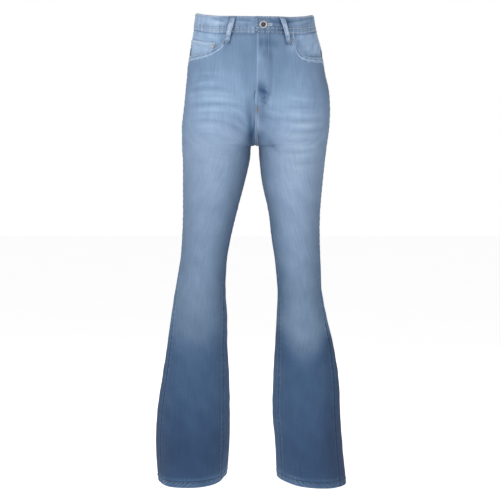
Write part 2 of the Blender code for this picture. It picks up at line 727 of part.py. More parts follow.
def turned(name, profile, radius, place, way, segments, parent):
    """A round metal piece, turned about a direction."""
    aside = np.cross(way, (0.0, 0.0, 1.0))
    aside /= np.linalg.norm(aside)
    upward = np.cross(aside, way)
    angles = np.linspace(0.0, 2 * math.pi, segments, endpoint=False)
    spokes = np.outer(np.cos(angles), aside) + np.outer(np.sin(angles), upward)
    rings = rows_of(profile, PROFILE_COLUMNS)
    circles = [place + way * ring["height"] + radius * ring["share"] * spokes for ring in rings]
    points = np.concatenate(circles)
    faces = []
    for ring in range(len(profile) - 1):
        for s in range(segments):
            a = ring * segments + s
            b = ring * segments + (s + 1) % segments
            faces.append((a, b, b + segments, a + segments))
    faces.append(tuple(range(segments))[::-1])
    faces.append(tuple((len(profile) - 1) * segments + s for s in range(segments)))
    return add_object(name, points, faces, "button_metal", parent)


def waistband(parent):
    """One strip, from the end under the fly, round the right, the back and the left, to the end over it."""
    rows = {"outer": [], "inner": []}
    for level in np.linspace(BAND_SEAM, BAND_TOP, BAND_ROWS):
        right = float(all_round("right", np.array([level]))[0])
        left = float(all_round("left", np.array([level]))[0])
        under = np.linspace(-BAND_UNDERLAP, 0.0, 5)[:-1]
        on_right = np.concatenate([under, np.linspace(0.0, right, 30)])
        over_fly = np.linspace(FLY_LIFT_ENDS, BAND_EDGE, 9)[1:]
        on_left = np.concatenate([np.linspace(left, FLY_LIFT_ENDS, 20)[1:], over_fly])
        for face, out in (("outer", BAND_PROUD), ("inner", BAND_PROUD - BAND_WALL)):
            first = cloth("right", level, on_right, out)
            last = cloth("left", level, on_left, out + band_lift(on_left))
            rows[face].append(np.concatenate([first, last]))
    wall("waistband", np.array(rows["outer"]), np.array(rows["inner"]), "denim_trim", parent)


def belt_loop(loop, parent):
    """A strip that stands off the waistband, sewn down at both ends."""
    levels = np.array(read(LOOP_RUN, LOOP_RUN_COLUMNS, "level"))[:, None]
    stand = np.array(read(LOOP_RUN, LOOP_RUN_COLUMNS, "stand"))[:, None]
    v = (levels - levels[0]) / (levels[-1] - levels[0])
    middle = loop["bottom"] + (loop["top"] - loop["bottom"]) * v
    across = np.linspace(-LOOP_WIDTH / 2, LOOP_WIDTH / 2, 3)[None, :]
    along = middle + across
    if loop["end"] == "back":
        along = all_round(loop["side"], levels) - along
    grid = levels + 0 * along
    lift = 0.0 * along
    if loop["name"] == "belt_loop_front_left":
        lift = np.maximum(fly_lift(grid, along), band_lift(along))
    outer = cloth(loop["side"], grid, along, stand + WALL + lift)
    inner = cloth(loop["side"], grid, along, stand + lift)
    wall(loop["name"], outer, inner, "denim_trim", parent)


def fly_strip(name, strip, out, thick, finish, parent):
    """A strip behind the fly. Its lower outer corner may be rounded."""
    v = np.linspace(0.0, 1.0, 9)[:, None]
    levels = strip["top"] + (strip["bottom"] - strip["top"]) * v
    far = strip["last"]
    if strip["rounded"]:
        over_end = (strip["bottom"] + strip["rounded"] - levels) / strip["rounded"]
        near_end = np.clip(over_end, 0.0, NEAREST_END)
        far = strip["first"] + (far - strip["first"]) * np.sqrt(1 - near_end**2)
    across = np.linspace(0.0, 1.0, 5)[None, :]
    along = strip["first"] + (far - strip["first"]) * across
    grid = levels + 0 * along
    outer = cloth("left", grid, along, out)
    inner = cloth("left", grid, along, out - thick)
    wall(name, outer, inner, finish, parent)


def zip_slider(parent):
    """The slider with its pull hanging down, closed at the top."""
    levels = np.array(read(SLIDER_RUN, SLIDER_COLUMNS, "level"))[:, None]
    half = np.array(read(SLIDER_RUN, SLIDER_COLUMNS, "half_width"))[:, None]
    thick = np.array(read(SLIDER_RUN, SLIDER_COLUMNS, "thick"))[:, None]
    along = ZIP_MIDDLE + half * np.linspace(-1.0, 1.0, 3)[None, :]
    grid = levels + 0 * along
    outer = cloth("left", grid, along, SLIDER_OUT)
    inner = cloth("left", grid, along, SLIDER_OUT - thick)
    wall("zip_slider", outer, inner, "zip_metal", parent)


def fly(parent):
    """The pieces behind the fly: its facing, the zip and the shield, each under the one before."""
    strips = {row["name"]: row for row in rows_of(FLY_STRIPS, FLY_STRIP_COLUMNS)}
    facing_out = FLY_LIFT - WALL - 2 * GAP
    fly_strip("fly_facing", strips["fly_facing"], facing_out, THIN_WALL, "denim_inside", parent)
    fly_strip("zip_chain", strips["zip_chain"], -WALL, CHAIN_WALL, "zip_metal", parent)
    tape_out = -WALL - CHAIN_WALL - GAP
    fly_strip("zip_tape", strips["zip_tape"], tape_out, TAPE_WALL, "zip_tape", parent)
    shield_out = tape_out - TAPE_WALL - GAP
    fly_strip("fly_shield", strips["fly_shield"], shield_out, THIN_WALL, "denim_inside", parent)
    zip_slider(parent)


def back_pocket(side, parent):
    """A patch pocket on the back, with a low point at the middle of its lower edge."""
    u = np.linspace(-1.0, 1.0, 13)[None, :]
    v = np.linspace(0.0, 1.0, 11)[:, None]
    slope = PATCH_SLOPE * (YOKE_AT_SIDE - YOKE_AT_BACK)
    bottom = PATCH_HEIGHT + PATCH_POINT * (1 - np.abs(u))
    levels = PATCH_TOP + slope * u - v * bottom
    half = PATCH_WIDTH / 2 * (1 - PATCH_TAPER * v)
    along = all_round(side, levels) - PATCH_FROM_BACK - half * u
    outer = cloth(side, levels, along, GAP + FACET + WALL)
    inner = cloth(side, levels, along, GAP + FACET)
    wall("back_pocket_" + side, outer, inner, "denim_panel", parent)


def button(parent):
    """The shank button, seated on the end of the waistband."""
    out = BAND_PROUD + float(band_lift(np.array(BUTTON_AT))) + GAP
    level = np.array([0.0])
    place = cloth("left", level, np.array([BUTTON_AT]), out)[0]
    way = outward("left", level, np.array([BUTTON_AT]))[0]
    turned("button", BUTTON_PROFILE, BUTTON_WIDTH / 2, place, way, 28, parent)


def clear():
    for old in list(bpy.data.objects):
        bpy.data.objects.remove(old)


def main():
    clear()
    waist = bpy.data.objects.new("waist", None)
    bpy.context.scene.collection.objects.link(waist)
    for side in ("right", "left"):
        front_panel(side, waist)
        back_panel(side, waist)
        yoke(side, waist)
        facing(side, waist)
        back_pocket(side, waist)
    coin_pocket(waist)
    waistband(waist)
    for loop in rows_of(LOOPS, LOOP_COLUMNS):
        belt_loop(loop, waist)
    fly(waist)
    button(waist)


main()
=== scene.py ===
"""The looks of the flared jeans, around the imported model, in metres, with +Z up and the front facing -Y.

Left and right are the wearer's, so left is at +X.
The surface of the cloth is the same function as in the solids: a half, a level and a length along the
outline at that level. Each piece of cloth is a fine shell on it, with its creases, seams and sewing.
"""

import math

import bpy
import numpy as np
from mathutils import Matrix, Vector


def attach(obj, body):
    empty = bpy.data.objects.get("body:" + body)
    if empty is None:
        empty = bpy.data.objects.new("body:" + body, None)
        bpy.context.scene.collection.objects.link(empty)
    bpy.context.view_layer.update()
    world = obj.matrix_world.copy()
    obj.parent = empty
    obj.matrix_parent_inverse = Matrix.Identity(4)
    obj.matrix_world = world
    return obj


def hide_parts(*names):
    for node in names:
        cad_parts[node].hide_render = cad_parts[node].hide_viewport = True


# Cloth and seams
WALL = 0.0015
THIN_WALL = 0.0012
GAP = 0.0003
HEM_WALL = 0.003

# Levels, down from the middle of the waistband at the centre front
BAND_TOP = 0.0185
BAND_SEAM = -0.0185
CROTCH = -0.261
HEM = -1.023
HEM_DEPTH = 0.014
YOKE_AT_SIDE = -0.052
YOKE_AT_BACK = -0.09
YOKE_BEND = 0.35

# How the waist leans: higher at the sides and back, and higher on the right
SIDE_RISE = 0.016
SIDE_DIP = 0.004
SIDE_DIP_REACH = 0.03
BACK_RISE = 0.018
LEAN = 0.016
LEAN_ENDS = -0.12

# The arch of cloth between the legs
ARCH = 0.009
ARCH_FALL = 0.004
PEAK_SETTLES = 0.06
BRIDGE_STARTS = -0.191

# The part above the crotch. right and left are the half widths at the sides. front and back are the
# depths of the fullest places, whose peaks are shares of the half width. centre_front and centre_back
# are where the middle seams run, and side is where the side seam runs.
RISE_COLUMNS = "level right left front back centre_front centre_back front_peak back_peak side".split()
RISE = (
    (-0.261, 0.164, 0.162, -0.093, 0.12, 0.01, 0.01, 0.5, 0.5, 0.008),
    (-0.253, 0.164, 0.163, -0.094, 0.123, -0.028, 0.048, 0.5, 0.5, 0.008),
    (-0.241, 0.164, 0.165, -0.095, 0.127, -0.052, 0.072, 0.49, 0.5, 0.009),
    (-0.221, 0.164, 0.167, -0.096, 0.131, -0.074, 0.096, 0.48, 0.5, 0.01),
    (-0.181, 0.16, 0.169, -0.099, 0.136, -0.092, 0.118, 0.45, 0.5, 0.01),
    (-0.141, 0.1555, 0.1665, -0.102, 0.133, -0.099, 0.122, 0.4, 0.47, 0.01),
    (-0.092, 0.1505, 0.1555, -0.103, 0.124, -0.102, 0.117, 0.35, 0.42, 0.008),
    (-0.052, 0.1435, 0.148, -0.101, 0.114, -0.1, 0.11, 0.32, 0.38, 0.006),
    (-0.0185, 0.137, 0.1385, -0.097, 0.106, -0.097, 0.104, 0.3, 0.35, 0.005),
    (0.0185, 0.1325, 0.131, -0.094, 0.1, -0.094, 0.098, 0.3, 0.35, 0.005),
)

# The legs. Each leg has its outer and inner edge as seen from the front, and both share the depths.
# seam_turn is how far both leg seams run forward of the edges.
LEG_COLUMNS = "level right_out right_in left_out left_in front back inseam side seam_turn".split()
LEG = (
    (-1.023, 0.2215, 0.065, 0.206, 0.049, -0.086, 0.088, 0.0, 0.0, 0.044),
    (-0.941, 0.2265, 0.059, 0.198, 0.045, -0.083, 0.086, 0.0, 0.0, 0.046),
    (-0.871, 0.2235, 0.058, 0.193, 0.0395, -0.08, 0.084, 0.0, 0.0, 0.045),
    (-0.791, 0.212, 0.0585, 0.19, 0.041, -0.075, 0.081, 0.0, 0.0, 0.042),
    (-0.711, 0.199, 0.0625, 0.1775, 0.0455, -0.07, 0.077, 0.0, 0.0, 0.036),
    (-0.651, 0.1905, 0.0625, 0.1635, 0.049, -0.066, 0.073, 0.0, 0.0, 0.03),
    (-0.591, 0.181, 0.066, 0.152, 0.051, -0.064, 0.068, 0.0, 0.0, 0.024),
    (-0.521, 0.169, 0.063, 0.1485, 0.045, -0.065, 0.066, 0.0, 0.0, 0.018),
    (-0.471, 0.164, 0.055, 0.146, 0.038, -0.07, 0.074, 0.002, 0.002, 0.014),
    (-0.411, 0.162, 0.041, 0.147, 0.031, -0.078, 0.086, 0.004, 0.004, 0.009),
    (-0.341, 0.162, 0.023, 0.153, 0.0165, -0.086, 0.1, 0.007, 0.006, 0.004),
    (-0.291, 0.162, 0.012, 0.158, 0.011, -0.09, 0.11, 0.009, 0.007, 0.001),
    (-0.261, 0.164, 0.0095, 0.162, 0.009, -0.093, 0.12, 0.01, 0.008, 0.0),
)

# The lower edge: how far it drops towards the outside, and how far its inner corner curls up
HEM_SHAPE_STARTS = -0.791
HEM_COLUMNS = "side drop curl".split()
HEM_SHAPE = (
    ("right", 0.001, 0.011),
    ("left", 0.008, 0.002),
)

# Soft waves round the flares: waves round a leg, their share of the full height, and where they start
WAVE_HEIGHT = 0.0036
WAVES_START = -0.591
WAVE_COLUMNS = "side count share turn".split()
WAVES = (
    ("right", 3, 0.5, 0.6),
    ("right", 5, 0.35, 2.1),
    ("right", 8, 0.15, 0.9),
    ("left", 3, 0.45, 2.4),
    ("left", 4, 0.3, 0.2),
    ("left", 7, 0.25, 4.0),
)

# The largest folds: ridges between two places seen from the front or the back. FOLD_ENDS is the share
# of the height that is left at the ends, and FOLD_FACING is how squarely the cloth must face that way.
FOLD_ENDS = 0.35
FOLD_FACING = 0.35
FOLD_COLUMNS = "face x_from z_from x_to z_to height width".split()
FOLDS = (
    ("front", -0.004, -0.253, -0.085, -0.213, 0.003, 0.01),
    ("front", -0.01, -0.259, -0.1, -0.253, 0.0026, 0.011),
    ("front", 0.004, -0.249, 0.08, -0.291, 0.0034, 0.011),
    ("front", 0.006, -0.239, 0.092, -0.223, 0.0028, 0.01),
    ("front", -0.145, -0.149, -0.045, -0.159, 0.0022, 0.008),
    ("front", -0.14, -0.181, -0.055, -0.173, 0.0018, 0.007),
    ("front", 0.05, -0.191, 0.14, -0.173, 0.002, 0.008),
    ("front", 0.06, -0.223, 0.145, -0.203, 0.0018, 0.008),
    ("front", 0.075, -0.281, 0.14, -0.266, 0.0014, 0.01),
    ("back", -0.1, -0.283, -0.02, -0.267, 0.003, 0.009),
    ("back", 0.018, -0.271, 0.105, -0.289, 0.0032, 0.01),
    ("back", -0.12, -0.309, -0.03, -0.297, 0.0022, 0.009),
    ("back", 0.03, -0.303, 0.115, -0.319, 0.002, 0.009),
    ("back", -0.155, -0.511, -0.08, -0.499, 0.0028, 0.01),
    ("back", -0.158, -0.547, -0.085, -0.539, 0.0024, 0.011),
    ("back", 0.062, -0.496, 0.135, -0.513, 0.003, 0.01),
    ("back", 0.07, -0.537, 0.138, -0.546, 0.0022, 0.012),
)

# The front pockets: a scoop that is a rounded corner, cut down from the waistband to the side seam
SCOOP_COLUMNS = "side width depth power".split()
SCOOPS = (
    ("right", 0.134, 0.0505, 2.6),
    ("left", 0.112, 0.0515, 6.0),
)
FACING_REACH = 0.022
# Where the facing rises from under the front to its full height, as shares of the scoop
FACING_RISES_FROM = 0.12
FACING_RISES_OVER = 0.5
FACING_ROWS = 8
FACING_COLUMNS = 12

# The coin pocket lies on the right facing, over some of its rows and columns
COIN_ROWS = (2, 6)
COIN_COLUMNS = (3, 10)
RIVET_WIDTH = 0.008
RIVET_INSET = 0.0065

# The fly: the left front overlaps the right
FLY_LIFT = 0.0036
FLY_LIFT_FLAT = 0.046
FLY_LIFT_ENDS = 0.085
FLY_FLAT_ENDS = -0.146
FLY_ENDS = -0.177
FLY_EDGE = 0.0042
LAP_GROWS = 0.08
UNDERLAP = 0.01
UNDERLAP_GROWS = 0.012
ZIP_MIDDLE = 0.0155
CHAIN_WALL = 0.0013
TAPE_WALL = 0.0006
NEAREST_END = 0.98
# The strips behind the fly: their first and last lengths, top and bottom levels, and rounded corner
FLY_STRIP_COLUMNS = "name first last top bottom rounded".split()
FLY_STRIPS = (
    ("fly_facing", 0.0054, 0.042, -0.0188, -0.144, 0.045),
    ("zip_chain", 0.0125, 0.0185, -0.0345, -0.136, 0.0),
    ("zip_tape", 0.001, 0.031, -0.0198, -0.14, 0.0),
    ("fly_shield", -0.008, 0.04, -0.0188, -0.148, 0.02),
)

# The waistband
BAND_WALL = 0.0024
BAND_PROUD = 0.0009
BAND_LIFT = 0.0027
BAND_EDGE = 0.0015
BAND_UNDERLAP = 0.038
BUTTON_AT = 0.018
BUTTON_WIDTH = 0.017

# The belt loops: where the top and bottom of each lies, as a length from the centre front or back
LOOP_WIDTH = 0.0105
LOOP_COLUMNS = "name side end top bottom".split()
LOOPS = (
    ("belt_loop_front_right", "right", "front", 0.047, 0.061),
    ("belt_loop_front_left", "left", "front", 0.057, 0.074),
    ("belt_loop_side_right", "right", "back", 0.118, 0.124),
    ("belt_loop_side_left", "left", "back", 0.118, 0.124),
    ("belt_loop_back", "left", "back", 0.0, 0.0),
)
# The run of a loop: its level and how far its inner face stands from the panels
LOOP_RUN_COLUMNS = "level stand".split()
LOOP_RUN = (
    (-0.041, 0.0003),
    (-0.034, 0.0003),
    (-0.0285, 0.0028),
    (-0.0215, 0.0054),
    (-0.01, 0.0062),
    (0.004, 0.0062),
    (0.0105, 0.0048),
    (0.0148, 0.0013),
    (0.0178, 0.0013),
)

# The back pockets
PATCH_WIDTH = 0.134
PATCH_TOP = -0.111
PATCH_HEIGHT = 0.116
PATCH_POINT = 0.026
PATCH_FROM_BACK = 0.088
PATCH_TAPER = 0.1
PATCH_SLOPE = 0.175

# Grids. ROUNDING keeps a point at the middle seam on its own side, TOUCHING is how near two sizes count as
# equal, and PROBE is how far apart the places are that give the direction out of the cloth.
ROUNDING = 0.00002
TOUCHING = 1e-7
PROBE = 0.002
EVEN_FROM = -0.114
# How far a flat face between two points may cut under a round surface
FACET = 0.0007
ARC_STEPS = 20

OTHER = {"left": "right", "right": "left"}
SIGN = {"left": 1.0, "right": -1.0}

# Finer creases: soft ridges, or troughs where the height is negative. bow moves a crease's middle aside.
CREASE_COLUMNS = "face x_from z_from x_to z_to bow height width".split()
CREASES = (
    ("front", -0.135, -0.122, -0.088, -0.125, 0.003, -0.0007, 0.004),
    ("front", -0.14, -0.138, -0.062, -0.141, 0.004, -0.0009, 0.0045),
    ("front", -0.142, -0.147, -0.034, -0.157, 0.005, 0.0008, 0.005),
    ("front", -0.14, -0.169, -0.024, -0.177, 0.004, -0.0009, 0.0045),
    ("front", -0.13, -0.188, -0.06, -0.19, 0.003, 0.0007, 0.0045),
    ("front", -0.142, -0.205, -0.06, -0.211, 0.005, -0.0008, 0.005),
    ("front", -0.13, -0.227, -0.075, -0.231, 0.003, 0.0006, 0.005),
    ("front", -0.05, -0.196, -0.018, -0.223, 0.003, -0.001, 0.004),
    ("front", -0.036, -0.177, -0.012, -0.213, 0.002, 0.0008, 0.004),
    ("front", -0.07, -0.217, -0.02, -0.241, -0.004, -0.0009, 0.005),
    ("front", -0.016, -0.253, -0.056, -0.291, 0.004, -0.0011, 0.0055),
    ("front", 0.012, -0.243, 0.056, -0.277, 0.004, 0.0016, 0.005),
    ("front", 0.012, -0.231, 0.066, -0.253, 0.004, -0.0012, 0.005),
    ("front", 0.018, -0.259, 0.05, -0.307, 0.004, -0.0011, 0.006),
    ("front", 0.052, -0.187, 0.146, -0.197, -0.004, -0.0009, 0.005),
    ("front", 0.06, -0.169, 0.14, -0.167, -0.004, 0.0007, 0.005),
    ("front", 0.058, -0.213, 0.148, -0.213, -0.004, 0.0009, 0.0045),
    ("front", 0.064, -0.231, 0.15, -0.225, -0.004, -0.001, 0.0045),
    ("front", 0.062, -0.247, 0.14, -0.239, -0.003, 0.0007, 0.0045),
    ("front", 0.066, -0.263, 0.136, -0.261, -0.004, -0.0008, 0.005),
    ("front", 0.062, -0.299, 0.128, -0.297, -0.004, -0.0006, 0.006),
    ("front", 0.007, -0.141, 0.026, -0.157, 0.002, -0.0012, 0.0035),
    ("front", 0.01, -0.155, 0.034, -0.171, 0.002, 0.0012, 0.0035),
    ("front", 0.006, -0.167, 0.03, -0.187, 0.002, -0.0011, 0.0035),
    ("front", 0.016, -0.129, 0.036, -0.139, 0.002, 0.0009, 0.0035),
    ("front", 0.02, -0.183, 0.06, -0.195, 0.003, 0.0009, 0.0045),
    ("front", 0.022, -0.197, 0.052, -0.215, 0.003, -0.0009, 0.0045),
    ("front", 0.022, -0.04, 0.03, -0.116, 0.001, -0.0006, 0.005),
    ("front", -0.09, -0.461, -0.15, -0.443, 0.004, -0.0008, 0.008),
    ("front", -0.085, -0.511, -0.15, -0.531, 0.004, 0.001, 0.009),
    ("front", 0.06, -0.471, 0.12, -0.491, 0.004, -0.0008, 0.008),
    ("front", 0.064, -0.551, 0.13, -0.539, 0.004, 0.0009, 0.009),
    ("front", -0.18, -0.791, -0.17, -0.981, 0.01, 0.0018, 0.012),
    ("front", -0.12, -0.781, -0.104, -0.976, -0.008, 0.0016, 0.013),
    ("front", -0.148, -0.891, -0.14, -1.011, 0.006, -0.0016, 0.011),
    ("front", 0.086, -0.771, 0.076, -0.981, 0.008, 0.0016, 0.012),
    ("front", 0.15, -0.791, 0.168, -0.981, 0.01, 0.0018, 0.013),
    ("front", 0.118, -0.871, 0.122, -1.001, -0.006, -0.0016, 0.012),
    ("back", -0.13, -0.253, -0.03, -0.247, 0.004, -0.001, 0.006),
    ("back", 0.03, -0.253, 0.128, -0.261, 0.004, -0.0011, 0.006),
    ("back", -0.11, -0.297, -0.026, -0.283, 0.004, -0.0014, 0.006),
    ("back", 0.028, -0.289, 0.11, -0.305, 0.004, -0.0014, 0.006),
    ("back", -0.12, -0.327, -0.04, -0.321, 0.004, -0.001, 0.007),
    ("back", 0.04, -0.333, 0.118, -0.341, 0.004, -0.001, 0.007),
    ("back", -0.156, -0.491, -0.082, -0.485, 0.004, -0.0014, 0.006),
    ("back", -0.158, -0.529, -0.082, -0.519, 0.004, -0.0016, 0.006),
    ("back", -0.16, -0.567, -0.09, -0.563, 0.004, -0.0011, 0.007),
    ("back", 0.064, -0.479, 0.132, -0.493, 0.004, -0.0014, 0.006),
    ("back", 0.066, -0.517, 0.136, -0.529, 0.004, -0.0016, 0.006),
    ("back", 0.072, -0.557, 0.138, -0.563, 0.004, -0.0011, 0.007),
    ("back", -0.18, -0.811, -0.172, -0.991, 0.01, 0.0018, 0.013),
    ("back", -0.11, -0.791, -0.1, -0.981, -0.008, 0.0017, 0.013),
    ("back", 0.088, -0.791, 0.08, -0.981, 0.008, 0.0017, 0.013),
    ("back", 0.15, -0.811, 0.164, -0.991, 0.01, 0.0018, 0.013),
)

# How pale the cloth is down the middle of each front, from 0, dark indigo, to 1, nearly white
TONE_COLUMNS = "level right left".split()
TONES = (
    (-1.021, 0.1, 0.1),
    (-0.951, 0.04, 0.07),
    (-0.891, 0.09, 0.12),
    (-0.811, 0.16, 0.16),
    (-0.751, 0.19, 0.2),
    (-0.719, 0.25, 0.36),
    (-0.691, 0.34, 0.47),
    (-0.651, 0.43, 0.51),
    (-0.591, 0.5, 0.5),
    (-0.511, 0.53, 0.57),
    (-0.431, 0.57, 0.63),
    (-0.331, 0.64, 0.7),
    (-0.261, 0.68, 0.72),
    (-0.191, 0.71, 0.73),
    (-0.141, 0.69, 0.67),
    (-0.091, 0.6, 0.6),
    (-0.04, 0.56, 0.58),
    (0.02, 0.56, 0.58),
)
# The dark dye starts lower in the middle of a leg than at its sides
DYE_BOW_COLUMNS = "side middle half_width bow".split()
DYE_BOWS = (
    ("right", -0.132, 0.062, 0.016),
    ("left", 0.112, 0.048, 0.042),
)
DYE_LEVEL = -0.711
DYE_REACH = 0.08
# How much darker each leg is at its outside and its inside than at its front: partly a sprayed fade, and
# partly painted shade on the sides turned from the front and from the light
SIDE_FADE_AND_SHADE_COLUMNS = "side outer inner".split()
SIDE_FADE_AND_SHADE = (
    ("right", 0.2, 0.4),
    ("left", 0.34, 0.4),
)
LEG_FADE_AND_SHADE_STARTS = -0.79
LEG_FADE_AND_SHADE_GROWS = 0.2
FLARE_INSIDE_PALER = 0.1
BACK_DARKER = 0.03
# The bluer tint of the cloth above the crotch, and of the waistband
TINT_STARTS = -0.29
TINT_GROWS = 0.17
BAND_TINT = 0.55
BLUE_TINT = (0.93, 1.0, 1.05, 1.0)

# Soft patches of fading and shade: their middle, half sizes and turn in degrees, and how much paler
PATCH_COLUMNS = "face x z half_width half_height turn paler".split()
PATCHES = (
    ("front", -0.104, -0.241, 0.04, 0.15, 2, 0.05),
    ("front", 0.104, -0.261, 0.036, 0.11, -2, 0.05),
    ("front", 0.045, -0.101, 0.026, 0.06, -8, -0.11),
    ("front", 0.027, -0.045, 0.007, 0.026, 0, -0.15),
    ("front", 0.013, -0.138, 0.01, 0.014, 10, -0.34),
    ("front", 0.018, -0.149, 0.009, 0.012, 0, -0.15),
    ("front", 0.022, -0.157, 0.009, 0.011, -20, -0.3),
    ("front", 0.015, -0.192, 0.009, 0.026, 0, -0.17),
    ("front", -0.009, -0.226, 0.007, 0.032, 0, -0.3),
    ("front", -0.012, -0.185, 0.01, 0.04, 0, -0.2),
    ("front", -0.018, -0.1, 0.016, 0.05, 0, -0.09),
    ("front", 0.022, -0.195, 0.016, 0.03, 0, -0.14),
    ("front", 0.012, -0.24, 0.008, 0.016, -35, -0.12),
    ("front", 0.012, -0.04, 0.005, 0.012, 0, -0.13),
    ("front", 0.02, -0.062, 0.006, 0.009, 0, -0.12),
    ("front", 0.034, -0.068, 0.006, 0.014, 0, -0.09),
    ("front", 0.01, -0.072, 0.004, 0.009, 0, 0.08),
    ("front", 0.031, -0.05, 0.004, 0.007, 0, 0.08),
    ("front", 0.044, -0.044, 0.008, 0.01, 0, -0.09),
    ("front", 0.125, -0.11, 0.025, 0.02, 0, 0.08),
    ("front", 0.04, -0.235, 0.022, 0.045, 0, -0.11),
    ("front", 0.026, -0.038, 0.024, 0.012, 0, -0.15),
    ("front", 0.083, -0.048, 0.013, 0.012, 0, 0.22),
    ("front", 0.004, -0.181, 0.006, 0.02, 0, -0.12),
    ("front", 0.028, -0.163, 0.006, 0.01, 30, 0.12),
    ("front", 0.01, -0.086, 0.008, 0.04, 0, 0.06),
    ("front", -0.03, -0.196, 0.016, 0.045, -25, -0.08),
    ("front", -0.014, -0.241, 0.012, 0.02, 0, -0.18),
    ("front", 0.012, -0.243, 0.01, 0.014, 0, -0.08),
    ("front", 0.03, -0.253, 0.026, 0.008, -35, -0.1),
    ("front", -0.06, -0.05, 0.03, 0.018, 0, -0.06),
    ("front", 0.075, -0.04, 0.016, 0.014, 0, -0.08),
    ("front", -0.17, -0.891, 0.016, 0.06, 0, -0.04),
    ("front", 0.172, -0.891, 0.02, 0.08, 0, -0.06),
    ("back", -0.085, -0.181, 0.05, 0.07, 0, 0.1),
    ("back", 0.085, -0.181, 0.05, 0.07, 0, 0.1),
    ("back", -0.1, -0.391, 0.035, 0.07, 0, 0.05),
    ("back", 0.098, -0.391, 0.035, 0.07, 0, 0.05),
)

# Whiskers: pale streaks worn into the folds, and painted shade along the creases' troughs and the folds by
# the crotch, where paler is negative
WHISKER_AND_SHADE_STRENGTH = 1.45
WHISKER_AND_SHADE_COLUMNS = "face x_from z_from x_to z_to bow width paler".split()
WHISKERS_AND_CREASE_SHADE = (
    ("front", -0.13, -0.104, -0.07, -0.108, 0.002, 0.003, 0.045),
    ("front", -0.128, -0.113, -0.08, -0.116, 0.002, 0.0024, -0.035),
    ("front", -0.135, -0.128, -0.072, -0.127, 0.003, 0.003, 0.06),
    ("front", -0.132, -0.121, -0.084, -0.123, 0.003, 0.0028, -0.05),
    ("front", -0.142, -0.138, -0.06, -0.141, 0.004, 0.0032, -0.06),
    ("front", -0.142, -0.149, -0.04, -0.156, 0.005, 0.0045, 0.07),
    ("front", -0.142, -0.164, -0.036, -0.167, 0.005, 0.004, 0.05),
    ("front", -0.14, -0.174, -0.024, -0.177, 0.004, 0.0032, -0.06),
    ("front", -0.138, -0.186, -0.05, -0.188, 0.004, 0.004, 0.05),
    ("front", -0.128, -0.192, -0.056, -0.194, 0.003, 0.0026, -0.04),
    ("front", -0.14, -0.209, -0.056, -0.213, 0.004, 0.0032, -0.045),
    ("front", -0.138, -0.222, -0.07, -0.224, 0.004, 0.004, 0.045),
    ("front", -0.124, -0.238, -0.08, -0.24, 0.003, 0.003, -0.035),
    ("front", -0.05, -0.196, -0.018, -0.221, 0.003, 0.0034, -0.07),
    ("front", -0.056, -0.181, -0.02, -0.199, 0.003, 0.0034, 0.06),
    ("front", -0.066, -0.213, -0.024, -0.237, 0.003, 0.004, -0.05),
    ("front", 0.07, -0.156, 0.148, -0.163, -0.003, 0.0045, 0.05),
    ("front", 0.06, -0.175, 0.148, -0.177, -0.004, 0.0034, -0.045),
    ("front", 0.056, -0.191, 0.15, -0.195, -0.004, 0.0042, 0.06),
    ("front", 0.05, -0.203, 0.15, -0.205, -0.004, 0.003, -0.06),
    ("front", 0.058, -0.215, 0.148, -0.215, -0.004, 0.0042, 0.065),
    ("front", 0.064, -0.229, 0.15, -0.226, -0.003, 0.0032, -0.065),
    ("front", 0.062, -0.24, 0.14, -0.237, -0.003, 0.0038, 0.05),
    ("front", 0.06, -0.251, 0.136, -0.247, -0.003, 0.003, -0.045),
    ("front", 0.064, -0.263, 0.14, -0.261, -0.004, 0.0045, 0.06),
    ("front", 0.06, -0.274, 0.132, -0.272, -0.003, 0.0026, -0.04),
    ("front", 0.058, -0.282, 0.13, -0.281, -0.004, 0.0034, 0.045),
    ("front", 0.066, -0.295, 0.128, -0.297, -0.004, 0.003, -0.035),
    ("front", 0.068, -0.306, 0.12, -0.309, -0.004, 0.0045, 0.04),
    ("front", 0.012, -0.233, 0.06, -0.277, 0.003, 0.004, 0.06),
    ("front", 0.02, -0.253, 0.07, -0.293, 0.003, 0.004, -0.05),
    ("front", 0.006, -0.226, 0.048, -0.268, 0.003, 0.004, -0.08),
    ("front", 0.02, -0.187, 0.06, -0.197, 0.002, 0.0034, 0.06),
    ("front", 0.018, -0.197, 0.054, -0.213, 0.002, 0.0034, -0.06),
    ("front", 0.008, -0.141, 0.03, -0.151, 0.002, 0.0026, -0.12),
    ("front", 0.014, -0.151, 0.036, -0.161, 0.002, 0.0026, 0.09),
    ("front", 0.008, -0.163, 0.03, -0.177, 0.002, 0.0026, -0.1),
    ("back", -0.13, -0.291, -0.04, -0.279, 0.004, 0.005, 0.06),
    ("back", 0.04, -0.285, 0.125, -0.299, 0.004, 0.005, 0.06),
    ("back", -0.15, -0.499, -0.085, -0.493, 0.004, 0.005, 0.07),
    ("back", -0.152, -0.537, -0.085, -0.529, 0.004, 0.005, 0.07),
    ("back", -0.15, -0.521, -0.09, -0.515, 0.004, 0.004, -0.05),
    ("back", 0.066, -0.489, 0.132, -0.501, 0.004, 0.005, 0.07),
    ("back", 0.07, -0.525, 0.134, -0.537, 0.004, 0.005, 0.07),
    ("back", 0.072, -0.509, 0.13, -0.517, 0.004, 0.004, -0.05),
)
